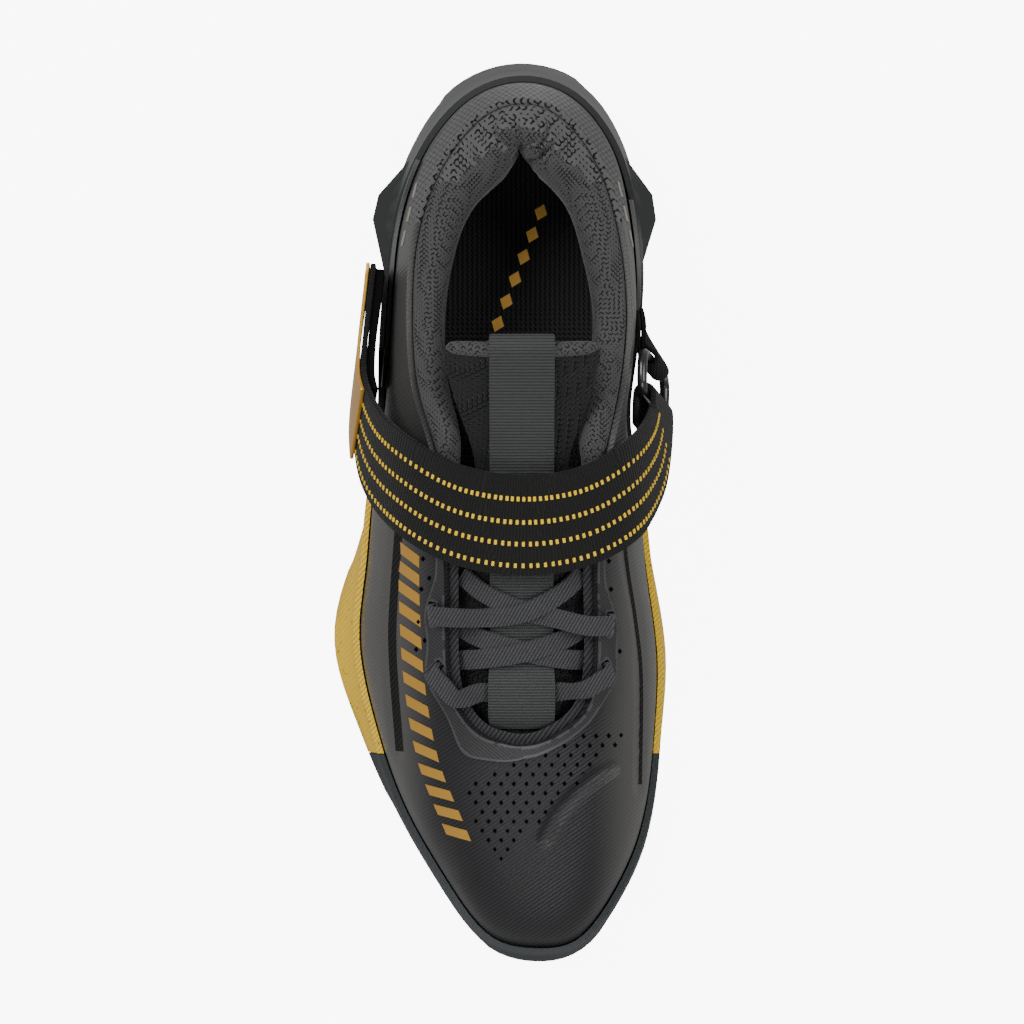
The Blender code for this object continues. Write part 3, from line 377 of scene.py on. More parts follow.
# Woven elastic: black, with cord-like ribs across it. Real ribs are about 0.7 mm apart.
ELASTIC = Finish("woven_elastic_strap", "black_elastic", Pattern.STRAP, "#080808", "#191817",
                 pitch_mm=1.0, depth_mm=0.25, roughness=0.8, sheen=0.08, specular=0.3)
# Nylon webbing: black, dull, finely ribbed. Real ribs are about 0.6 mm apart.
WEBBING = Finish("black_anchor_webbing", "black_elastic", Pattern.TWILL, "#080808", "#161616",
                 pitch_mm=1.0, depth_mm=0.2, roughness=0.85, specular=0.25)
# Jacquard thread: yellow stitches that stand a little proud and catch a soft light.
DASH = Finish("yellow_jacquard_thread", "gold_film", Pattern.GRAIN, "#ffd21c", "#e0b020",
              pitch_mm=0.5, depth_mm=0.08, roughness=0.6, sheen=0.1)
# Heat-pressed transfer films: thin, even, with a satin metal lustre.
GOLD = Finish("gold_transfer_film", "gold_film", Pattern.GRAIN, "#dda94a", "#b9832a",
              pitch_mm=0.6, depth_mm=0.03, roughness=0.36, metallic=0.6, coat=0.2)
SILVER = Finish("silver_beige_film", "gold_film", Pattern.GRAIN, "#aaa498", "#857f74",
                pitch_mm=0.6, depth_mm=0.03, roughness=0.38, metallic=0.4)
# Smoked polycarbonate: dark, glossy, a little see-through.
SMOKED = Finish("smoked_polycarbonate", "smoked_plastic", Pattern.PLAIN, "#1b1d20", "#101113",
                pitch_mm=4.0, depth_mm=0.0, roughness=0.14, coat=0.6, transmission=0.2)
# Woven channel pressed below the coated film: duller than the film, and darker partly by its own tone and
# partly as painted shade of the recess. Real threads are 0.5 mm apart.
CHANNEL_AND_PAINTED_SHADE = Finish("woven_channel_and_painted_shade", "coated_textile", Pattern.TWILL, "#0c0c0d", "#242426",
                 pitch_mm=1.2, depth_mm=0.25, roughness=0.8, specular=0.2, turn_deg=35.0)
# Hook-and-loop lining: a dense black pile that takes hardly any light.
PILE = Finish("hook_and_loop_pile", "black_elastic", Pattern.GRAIN, "#060606", "#141414",
              pitch_mm=0.8, depth_mm=0.4, roughness=0.95, specular=0.15)
# Moulded rubber: slate grey, satin, fine grain.
RUBBER = Finish("moulded_slate_rubber", "slate_rubber", Pattern.GRAIN, "#262c2f", "#1a1f21",
                pitch_mm=0.9, depth_mm=0.1, roughness=0.55)
# Injected foam: mustard yellow with fine mould ribs and dark specks.
FOAM = Finish("injected_yellow_foam", "yellow_foam", Pattern.FOAM, "#fbcc2a", "#8f6f18",
              pitch_mm=1.2, depth_mm=0.2, roughness=0.55, turn_deg=40.0)
# Moulded polyurethane: dark grey, smooth, half gloss.
MOULDING = Finish("moulded_polyurethane", "grey_moulding", Pattern.GRAIN, "#222425", "#1b1c1d",
                  pitch_mm=1.2, depth_mm=0.02, roughness=0.36, coat=0.1)
# Brushed cloth over foam, near black.
SOCK = Finish("brushed_cloth_sock", "black_foam", Pattern.KNIT, "#343435", "#101010",
              pitch_mm=1.6, depth_mm=0.1, roughness=0.95, sheen=0.05, specular=0.15)
# Punched holes: the dark foam under the film, in shadow.
HOLE = Finish("punched_hole_shadow", "coated_textile", Pattern.PLAIN, "#020202", "#010101",
              pitch_mm=2.0, depth_mm=0.0, roughness=0.95, specular=0.05)


def ease(start: float, end: float, value: float) -> float:
    """Eases from 0 to 1.

    Args:
        start: Where it leaves 0.
        end: Where it reaches 1.
        value: Where it is asked for.

    Returns:
        0 before start, 1 after end, smooth between them.
    """
    f = min(max((value - start) / (end - start), 0.0), 1.0)
    return f * f * (3 - 2 * f)


def smooth_curve(points: np.ndarray, f: float) -> np.ndarray:
    """Follows a smooth open curve through rows of points.

    Args:
        points: Its points, one a row.
        f: How far along it, from 0 to 1.

    Returns:
        The point there.
    """
    last = len(points) - 1
    x = min(max(f, 0.0), 1.0) * last
    i = min(int(x), last - 1)
    x -= i
    b, c = points[i], points[i + 1]
    a = points[i - 1] if i > 0 else 2 * b - c
    d = points[i + 2] if i + 2 <= last else 2 * c - b
    return b + 0.5 * x * (c - a + x * (2 * a - 5 * b + 4 * c - d + x * (3 * (b - c) + d - a)))


def path_lengths(places: np.ndarray) -> np.ndarray:
    """Measures along a path.

    Args:
        places: Its points, one a row.

    Returns:
        The length from its start to each of them.
    """
    return np.concatenate(([0.0], np.cumsum(np.linalg.norm(np.diff(places, axis=0), axis=1))))


def select_only(obj: bpy.types.Object) -> None:
    """Leaves one object selected and active.

    Args:
        obj: The object.
    """
    bpy.ops.object.select_all(action="DESELECT")
    obj.select_set(True)
    bpy.context.view_layer.objects.active = obj


def apply_modifiers(obj: bpy.types.Object) -> None:
    """Applies every modifier in order.

    Args:
        obj: The piece that has them.
    """
    select_only(obj)
    for modifier in list(obj.modifiers):
        bpy.ops.object.modifier_apply(modifier=modifier.name)


def point_outwards(obj: bpy.types.Object) -> None:
    """Turns every face of a piece outwards.

    Args:
        obj: The piece.
    """
    select_only(obj)
    bpy.ops.object.mode_set(mode="EDIT")
    bpy.ops.mesh.select_all(action="SELECT")
    bpy.ops.mesh.normals_make_consistent(inside=False)
    bpy.ops.object.mode_set(mode="OBJECT")


def new_piece(name: str, points: list, faces: list) -> bpy.types.Object:
    """Makes a mesh object and links it to the scene.

    Args:
        name: Its name.
        points: Its points, in metres.
        faces: The points of each face, by number.

    Returns:
        The object.
    """
    mesh = bpy.data.meshes.new(name)
    mesh.from_pydata([tuple(p) for p in points], [], faces)
    mesh.update()
    obj = bpy.data.objects.new(name, mesh)
    bpy.context.scene.collection.objects.link(obj)
    return obj


def dress(obj: bpy.types.Object, finish: Finish, *nodes: str) -> bpy.types.Object:
    """Gives a piece its finish and its body, and hides the CAD nodes that it replaces.

    Args:
        obj: The piece.
        finish: Its finish.
        nodes: The CAD nodes that it replaces.

    Returns:
        The piece.
    """
    obj.data.materials.clear()
    obj.data.materials.append(finish.build())
    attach(obj, BODY)
    if nodes:
        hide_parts(*nodes)
    LOG.info("%s: %d faces", obj.name, len(obj.data.polygons))
    return obj


def soft_copy(nodes: dict, node: str, name: str, levels: int, sharp_deg: float = 50.0,
              crease: float = 0.85) -> bpy.types.Object:
    """Copies a node's mesh, joins its triangles to quads and rounds it.

    Args:
        nodes: The frame's objects by node.
        node: The node to copy.
        name: The new piece's name.
        levels: How often the mesh is subdivided.
        sharp_deg: Edges that turn more than this keep their corner.
        crease: How firmly they keep it.

    Returns:
        The piece.
    """
    obj = bpy.data.objects.new(name, nodes[node].data.copy())
    bpy.context.scene.collection.objects.link(obj)
    select_only(obj)
    bpy.ops.mesh.customdata_custom_splitnormals_clear()
    bpy.ops.object.mode_set(mode="EDIT")
    bpy.ops.mesh.select_mode(type="EDGE")
    bpy.ops.mesh.select_all(action="SELECT")
    bpy.ops.mesh.remove_doubles(threshold=0.00002)
    bpy.ops.mesh.tris_convert_to_quads(face_threshold=math.radians(60), shape_threshold=math.radians(60))
    if levels:
        bpy.ops.mesh.select_all(action="DESELECT")
        bpy.ops.mesh.edges_select_sharp(sharpness=math.radians(sharp_deg))
        bpy.ops.transform.edge_crease(value=crease)
    bpy.ops.object.mode_set(mode="OBJECT")
    if levels:
        rounding = obj.modifiers.new("rounding", "SUBSURF")
        rounding.levels = rounding.render_levels = levels
        apply_modifiers(obj)
    select_only(obj)
    bpy.ops.object.shade_smooth_by_angle(angle=math.radians(38))
    return obj


def second_finish(obj: bpy.types.Object, finish: Finish,
                  wanted: Callable[[bpy.types.MeshPolygon], bool]) -> None:
    """Gives some faces of a piece another finish.

    Args:
        obj: The piece.
        finish: The other finish.
        wanted: Says of a face whether it takes it.
    """
    obj.data.materials.append(finish.build())
    number = len(obj.data.materials) - 1
    for face in obj.data.polygons:
        if wanted(face):
            face.material_index = number


class Surface:
    """The outside of a piece, to lay other things on."""

    def __init__(self, obj: bpy.types.Object) -> None:
        """Reads the piece's mesh.

        Args:
            obj: The piece.
        """
        shape = bmesh.new()
        shape.from_mesh(obj.data)
        self.tree = BVHTree.FromBMesh(shape)
        shape.free()

    def drop(self, x: float, y: float) -> tuple[Vector, Vector] | None:
        """Drops a point from above.

        Args:
            x: Its place, in mm.
            y: Its place, in mm.

        Returns:
            Where it lands and the surface's direction, or nothing if it misses.
        """
        place, normal, _, _ = self.tree.ray_cast(Vector((x * MM, y * MM, DROP_HEIGHT)), Vector((0, 0, -1)))
        return None if place is None else (place, normal)

    def near(self, point: Vector) -> tuple[Vector, Vector]:
        """Finds the nearest place of the surface.

        Args:
            point: Where to look from, in metres.

        Returns:
            The place and the surface's direction there.
        """
        place, normal, _, _ = self.tree.find_nearest(point)
        return place, normal


def decal(name: str, quads: list, surface: Surface, lift_mm: float, finish: Finish,
          cells: tuple[int, int] = (2, 6)) -> bpy.types.Object:
    """Lays thin four-cornered films on a surface, each closed all round.

    Args:
        name: The piece's name.
        quads: Four corners of each film, x and y in mm.
        surface: What they lie on.
        lift_mm: How far their underside lies off it.
        finish: Their finish.
        cells: How finely each is divided, across and along.

    Returns:
        The piece.
    """
    points, faces = [], []
    across, along = cells
    for a, b, c, d in quads:
        start, rows = len(points), []
        for i in range(across + 1):
            for j in range(along + 1):
                p, q = i / across, j / along
                x, y = (
                    (1 - p) * (1 - q) * a[n] + p * (1 - q) * b[n] + p * q * c[n] + (1 - p) * q * d[n]
                    for n in (0, 1)
                )
                hit = surface.drop(x, y)
                if hit is None:
                    break
                rows.append(hit[0] + lift_mm * MM * hit[1])
        if len(rows) < (across + 1) * (along + 1):
            continue
        points += rows
        for i in range(across):
            for j in range(along):
                k = start + i * (along + 1) + j
                faces.append((k, k + along + 1, k + along + 2, k + 1))
    obj = new_piece(name, points, faces)
    point_outwards(obj)
    if obj.data.polygons and sum(f.normal.z for f in obj.data.polygons) < 0:
        obj.data.flip_normals()
    film = obj.modifiers.new("film", "SOLIDIFY")
    film.thickness = FILM_MM * MM
    film.offset = 1.0
    apply_modifiers(obj)
    return dress(obj, finish)


def swept(name: str, path: list, section: list, finish: Finish) -> bpy.types.Object:
    """Sweeps a closed section along a path of frames.

    Args:
        name: The piece's name.
        path: Place, side and up of each frame.
        section: Points of the section, side and up in mm.
        finish: The piece's finish.

    Returns:
        The piece.
    """
    count = len(section)
    points = [at + (u * side + v * up) * MM for at, side, up in path for u, v in section]
    faces = [
        (r * count + k, r * count + (k + 1) % count, (r + 1) * count + (k + 1) % count, (r + 1) * count + k)
        for r in range(len(path) - 1) for k in range(count)
    ]
    faces += [tuple(reversed(range(count))), tuple((len(path) - 1) * count + k for k in range(count))]
    obj = new_piece(name, points, faces)
    point_outwards(obj)
    bpy.ops.object.shade_smooth_by_angle(angle=math.radians(50))
    return dress(obj, finish)


def refine(obj: bpy.types.Object, line: list, width_mm: float) -> None:
    """Divides a piece's faces once more along a line.

    Args:
        obj: The piece.
        line: Points of the line seen from above, in mm.
        width_mm: How far from it a face is still divided.
    """
    route = np.array([smooth_curve(np.array(line, float), f) for f in np.linspace(0, 1, 30)]) * MM
    for face in obj.data.polygons:
        away = np.min(np.hypot(route[:, 0] - face.center.x, route[:, 1] - face.center.y))
        face.select = bool(away < width_mm * MM and face.normal.z > 0)
    select_only(obj)
    bpy.ops.object.mode_set(mode="EDIT")
    bpy.ops.mesh.select_mode(type="FACE")
    bpy.ops.mesh.subdivide(number_cuts=1, smoothness=0.0)
    bpy.ops.object.mode_set(mode="OBJECT")


def press(obj: bpy.types.Object, line: list, depth_mm: float, width_mm: float) -> None:
    """Presses a soft groove into the outside of a piece.

    Args:
        obj: The piece.
        line: Points of the groove seen from above, in mm.
        depth_mm: Its depth; below 0 it is a ridge.
        width_mm: Half its width.
    """
    route = np.array([smooth_curve(np.array(line, float), f) for f in np.linspace(0, 1, 60)]) * MM
    for vertex in obj.data.vertices:
        normal = vertex.normal
        outside = normal.z > 0.05 or normal.x * (vertex.co.x - MIDDLE_X) > 0.0
        if not outside:
            continue
        away = np.min(np.hypot(route[:, 0] - vertex.co.x, route[:, 1] - vertex.co.y)) / (width_mm * MM)
        if away < 1.0:
            vertex.co -= normal * (depth_mm * MM * (1 - away * away) ** 2)


@dataclass
class Studio:
    """Floor, lights and camera."""

    camera_mm: tuple[float, float, float] = (3.51, -0.59, 1500.0)
    focal_px: float = 4455.0
    frame_px: float = 1024.0
    sensor_mm: float = 36.0
    clip_end: float = 20.0
    floor_size: float = 8.0
    floor_z: float = -0.0002
    floor_glow: float = 8.0
    sky_strength: float = 0.42
    # Name, place, width and power of each lamp.
    lamps: tuple = (
        ("lamp_left", (-0.8, 0.5, 1.3), 0.8, 15.0),
        ("lamp_right", (0.9, 0.2, 1.2), 0.8, 8.0),
        ("lamp_toe", (0.1, -0.9, 1.3), 0.7, 5.0),
    )

    def build(self) -> None:
        """Makes the studio."""
        self.place_camera()
        self.lay_floor()
        self.light()

    def place_camera(self) -> None:
        """Looks straight down on the shoe with a long lens."""
        data = bpy.data.cameras.new("camera")
        data.sensor_width = self.sensor_mm
        data.lens = self.sensor_mm * self.focal_px / self.frame_px
        data.clip_end = self.clip_end
        camera = bpy.data.objects.new("camera", data)
        camera.location = Vector(self.camera_mm) * MM
        bpy.context.scene.collection.objects.link(camera)
        bpy.context.scene.camera = camera

    def lay_floor(self) -> None:
        """A plain pale floor."""
        bpy.ops.object.select_all(action="DESELECT")
        bpy.ops.mesh.primitive_plane_add(size=self.floor_size, location=(0, 0, self.floor_z))
        floor = bpy.context.object
        floor.name = "floor"
        bpy.ops.object.transform_apply(location=True, rotation=True, scale=True)
        paper = bpy.data.materials.new("white_paper")
        paper.use_nodes = True
        shader = paper.node_tree.nodes["Principled BSDF"]
        shader.inputs["Base Color"].default_value = linear("#f7f7f7")
        shader.inputs["Roughness"].default_value = 0.9
        shader.inputs["Specular IOR Level"].default_value = 0.1
        shader.inputs["Emission Color"].default_value = (1, 1, 1, 1)
        shader.inputs["Emission Strength"].default_value = self.floor_glow
        floor.visible_diffuse = floor.visible_glossy = False
        floor.data.materials.append(paper)

    def light(self) -> None:
        """Even white light from all round, and three large soft lamps."""
        world = bpy.data.worlds.new("studio")
        world.use_nodes = True
        sky = world.node_tree.nodes["Background"]
        sky.inputs["Color"].default_value = (1, 1, 1, 1)
        sky.inputs["Strength"].default_value = self.sky_strength
        bpy.context.scene.world = world
        for name, place, size, power in self.lamps:
            data = bpy.data.lights.new(name, "AREA")
            data.size = size
            data.energy = power
            lamp = bpy.data.objects.new(name, data)
            lamp.location = place
            lamp.rotation_euler = (-Vector(place)).to_track_quat("-Z", "Y").to_euler()
            bpy.context.scene.collection.objects.link(lamp)


@dataclass
class Shell:
    """The upper, its eyestay plate, perforations, creases and trims. Sizes are in mm, seen from above."""

    nodes: dict
    # Grooves: points, depth and half width. The first is the crease over the toe joint.
    pressed: tuple = (
        ([(36, -84), (29, -88), (19, -98), (14, -107)], 1.7, 3.4),
        ([(-32.5, 3.5), (-36, -28), (-36.5, -48), (-34.5, -80)], 0.9, 3.0),
        ([(38, -3), (41, -19), (44.5, -38), (45.5, -60), (45.5, -92)], 0.9, 3.0),
        ([(2.5, -113), (-10, -121), (-15, -122)], 0.4, 2.5),
    )
    crease_reach_mm: float = 8.0
    knit_back_mm: tuple[float, float] = (92.0, 66.0)
    # The plate's pale rim: its width, how far it keeps from the collar, and how steep its faces are.
    rim_mm: float = 0.8
    lining_mm: float = 3.4
    rim_turn: float = 0.55
    hole_mm: float = 1.7
    hole_step: tuple[float, float] = (4.1, 3.1)
    hole_start_mm: float = -70.0
    hole_rows: int = 16
    hole_field: tuple = (
        (35, -70), (41, -73), (18, -96), (0, -114.5), (-4.5, -112), (-12, -92.5), (-8, -87), (18, -75.5),
    )
    slot_holes: tuple = (
        (-25, -15.6), (-23, -21.8), (-25.6, -25.4), (-26.6, -36), (-24.6, -42), (-27.4, -45),
        (34.5, -16.3), (32.5, -22.5), (35.3, -25.4), (37, -36.5), (34.8, -42.7), (38.3, -45.6),
    )
    # Gold bars: their line, number, half width, half length and slant.
    bar_line: tuple = ((-29.5, -8.0), (-29.5, -30.0), (-28.0, -56.0), (-23.5, -82.0), (-14.5, -105.0))
    bar_count: int = 15
    bar_mm: tuple[float, float, float] = (1.9, 3.4, 2.4)
    # Channels: name, line and width. Their dark bands are partly painted shade in the pressed grooves.
    channel_lines: tuple = (
        ("outer_channel", ((-32.0, 5.0), (-34.8, -28.0), (-35.3, -47.0), (-33.3, -79.0)), 2.6),
        ("inner_channel", ((38.8, -3.0), (40.8, -19.0), (43.6, -36.0), (45.6, -55.0), (45.6, -90.0)), 1.0),
    )
    channel_steps: int = 24
    # Pale heel bars: the line of each side, where each starts as a share of it, their length and half width.
    heel_lines: tuple = (((-26.6, 107.0), (-32.3, 83.0)), ((36.9, 107.0), (42.8, 83.0)))
    heel_starts: tuple[float, ...] = (0.08, 0.4, 0.72)
    heel_share: float = 0.2
    heel_half_mm: float = 0.35

    def build(self) -> Surface:
        """Makes the upper and what lies on it.

        Returns:
            The upper's surface.
        """
        upper = soft_copy(self.nodes, "upper", "upper_shell", 2, 60.0, 0.6)
        refine(upper, self.pressed[0][0], self.crease_reach_mm)
        for line, depth, width in self.pressed:
            press(upper, line, depth, width)
        dress(upper, TEXTILE, "upper")
        back, high = self.knit_back_mm
        second_finish(upper, COARSE_KNIT, lambda face: face.center.y > back * MM and face.center.z > high * MM)
        surface = Surface(upper)
        plate = soft_copy(self.nodes, "eyestay", "eyestay_plate", 2, 50.0, 0.9)
        dress(plate, PLATE, "eyestay")
        self.light_rim(plate, surface)
        self.punch(surface)
        self.gold_bars(surface)
        self.channels(surface)
        self.heel_bars(surface)
        return surface

    def light_rim(self, plate: bpy.types.Object, surface: Surface) -> None:
        """Gives the plate's cut edge, and the bevel along it, a paler finish.

        Args:
            plate: The eyestay plate.
            surface: The upper's surface.
        """
        lining = Surface(self.nodes["collar"])
        cut = [
            face.center.copy() for face in plate.data.polygons
            if abs(surface.near(face.center)[1].dot(face.normal)) < self.rim_turn
            and (lining.near(face.center)[0] - face.center).length > self.lining_mm * MM
        ]
        tree = KDTree(len(cut))
        for number, place in enumerate(cut):
            tree.insert(place, number)
        tree.balance()
        second_finish(plate, PLATE_EDGE, lambda face: tree.find(face.center)[2] < self.rim_mm * MM)

    def punch(self, surface: Surface) -> None:
        """Punches small diamond holes over the toe and beside the lace slots.

        Args:
            surface: The upper's surface.
        """
        quads = []
        step_x, step_y = self.hole_step
        for row in range(self.hole_rows):
            y = self.hole_start_mm - row * step_y
            for column in range(-6, 12):
                x = (column + 0.5 * (row % 2)) * step_x
                if self.inside(x, y):
                    quads.append(self.diamond(x, y))
        decal("toe_perforations", quads, surface, 0.05, HOLE, (1, 1))
        slots = [self.diamond(x, y) for x, y in self.slot_holes]
        decal("slot_perforations", slots, surface, 0.05, HOLE, (1, 1))

    def inside(self, x: float, y: float) -> bool:
        """Says whether a place lies in the field of holes.

        Args:
            x: The place, in mm.
            y: The place, in mm.

        Returns:
            Whether the field's outline goes round it.
        """
        found = False
        for (ax, ay), (bx, by) in zip(self.hole_field, (*self.hole_field[1:], self.hole_field[0])):
            if (ay > y) != (by > y) and x < (bx - ax) * (y - ay) / (by - ay) + ax:
                found = not found
        return found

    def diamond(self, x: float, y: float) -> list:
        """Corners of one hole."""
        half = self.hole_mm / 2
        return [(x, y + half), (x + 0.8 * half, y), (x, y - half), (x - 0.8 * half, y)]

    def gold_bars(self, surface: Surface) -> None:
        """Lays a row of slanted gold bars down the outer side.

        Args:
            surface: The upper's surface.
        """
        line = np.array(self.bar_line)
        quads = []
        for f in np.linspace(0.0, 1.0, self.bar_count):
            at = smooth_curve(line, f)
            ahead = smooth_curve(line, min(f + 0.02, 1.0)) - smooth_curve(line, max(f - 0.02, 0.0))
            ahead /= np.linalg.norm(ahead)
            side = np.array((-ahead[1], ahead[0]))
            half, reach, slant = (size * way for size, way in zip(self.bar_mm, (ahead, side, ahead)))
            quads.append([at - half - reach - slant, at + half - reach - slant,
                          at + half + reach + slant, at - half + reach + slant])
        decal("side_gold_bars", quads, surface, 0.05, GOLD, (2, 6))

    def channels(self, surface: Surface) -> None:
        """Lays the recessed woven line down the outer side and the thin dark line down the inner side, both
        darkened partly as painted shade in their grooves.

        Args:
            surface: The upper's surface.
        """
        for name, line, width in self.channel_lines:
            route = np.array(line)
            quads = []
            for k in range(self.channel_steps):
                ends = [smooth_curve(route, (k + n) / self.channel_steps) for n in (0, 1)]
                ahead = (ends[1] - ends[0]) / np.linalg.norm(ends[1] - ends[0])
                side = width / 2 * np.array((-ahead[1], ahead[0]))
                quads.append([ends[0] - side, ends[1] - side, ends[1] + side, ends[0] + side])
            decal(name, quads, surface, 0.03, CHANNEL_AND_PAINTED_SHADE, (2, 2))

    def heel_bars(self, surface: Surface) -> None:
        """Lays three short pale bars on each side, where the heel cup meets the upper.

        Args:
            surface: The upper's surface.
        """
        quads = []
        across = np.array((self.heel_half_mm, 0.0))
        for near, far in self.heel_lines:
            start, end = np.array(near), np.array(far)
            for share in self.heel_starts:
                head = start + share * (end - start)
                foot = start + (share + self.heel_share) * (end - start)
                quads.append([head - across, head + across, foot + across, foot - across])
        decal("heel_slivers", quads, surface, 0.1, SILVER, (2, 6))


@dataclass
class Collar:
    """The padded knit round the ankle, and the binding down the throat."""

    nodes: dict
    notch_x_mm: float = 5.4
    notch_width_mm: float = 3.5
    lobe_at_mm: float = 9.0
    lobe_width_mm: float = 14.0
    lobe_mm: float = 6.5
    notch_share: float = 0.4
    side_mm: float = 3.0
    # Where the swelling starts and is full: in height, at the back, and from the front and back of the sides.
    high_mm: tuple[float, float] = (60.0, 80.0)
    back_mm: tuple[float, float] = (82.0, 112.0)
    front_mm: tuple[float, float] = (0.0, 30.0)
    rear_mm: tuple[float, float] = (80.0, 105.0)
    mouth_y_mm: float = 60.0
    throat_end_mm: float = -6.0
    coarse_start_mm: float = 104.0

    def build(self) -> None:
        """Makes the collar."""
        collar = soft_copy(self.nodes, "collar", "knit_collar", 1, 80.0, 0.2)
        self.pad(collar)
        rounding = collar.modifiers.new("rounding", "SUBSURF")
        rounding.levels = rounding.render_levels = 1
        apply_modifiers(collar)
        dress(collar, KNIT, "collar")
        second_finish(collar, BINDING, lambda face: face.center.y < self.throat_end_mm * MM)
        second_finish(collar, COARSE_KNIT, self.is_coarse)

    def pad(self, collar: bpy.types.Object) -> None:
        """Swells the sides and two lobes at the back, with a notch between them.

        Args:
            collar: The collar.
        """
        for vertex in collar.data.vertices:
            x, y, z = vertex.co / MM
            inward = (Vector((self.notch_x_mm, self.mouth_y_mm, z)) - Vector((x, y, z))).normalized()
            if vertex.normal.dot(inward) < 0.1:
                continue
            high = ease(*self.high_mm, z)
            back = ease(*self.back_mm, y) * high
            sides = ease(*self.front_mm, y) * (1 - ease(*self.rear_mm, y)) * high
            away = abs(x - self.notch_x_mm)
            lobe = math.exp(-(((away - self.lobe_at_mm) / self.lobe_width_mm) ** 2))
            notch = math.exp(-((away / self.notch_width_mm) ** 2))
            amount = self.lobe_mm * back * lobe * (1 - self.notch_share * notch) + self.side_mm * sides
            vertex.co += vertex.normal * (amount * MM)

    def is_coarse(self, face: bpy.types.MeshPolygon) -> bool:
        """Says whether a face lies on the coarse mesh at the back."""
        return face.center.y > self.coarse_start_mm * MM and face.normal.y > -0.25


@dataclass
class Tongue:
    """The tongue with its roll, and the tape with its pull loop."""

    nodes: dict
    roll_mm: float = 2.4
    half_width_mm: float = 25.2
    crown_mm: float = 7.5
    bow_mm: float = 1.6
    frames: int = 41
    # The roll's own ways forward and up, as the tongue leans.
    ahead: tuple[float, float, float] = (0.0, 0.82, 0.57)
    up: tuple[float, float, float] = (0.0, -0.57, 0.82)

    def build(self) -> None:
        """Makes the tongue."""
        tongue = soft_copy(self.nodes, "tongue", "mesh_tongue", 2, 70.0, 0.4)
        dress(tongue, MESH, "tongue")
        self.roll(Surface(tongue))
        tape = soft_copy(self.nodes, "tongue_tape", "tongue_pull_tape", 2, 50.0, 0.95)
        dress(tape, TAPE, "tongue_tape")

    def roll(self, surface: Surface) -> None:
        """Lays a knit roll along the tongue's free edge.

        Args:
            surface: The tongue's surface.
        """
        _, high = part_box("tongue")
        ahead, up = Vector(self.ahead), Vector(self.up)
        path = []
        for f in np.linspace(-1.0, 1.0, self.frames):
            x = MIDDLE_X + f * self.half_width_mm * MM
            start = Vector((x, high.y, high.z - self.crown_mm * f * f * MM))
            place, _ = surface.near(start)
            size = math.sqrt(max(1 - abs(f) ** 8, 0.04))
            bow = ahead * (self.bow_mm * (f * f - 0.5) * MM)
            path.append((place + bow, ahead * size, up * size))
        ring = np.linspace(0, 2 * math.pi, 17)[:-1]
        section = [(self.roll_mm * math.cos(a), self.roll_mm * math.sin(a)) for a in ring]
        swept("tongue_top_roll", path, section, KNIT)


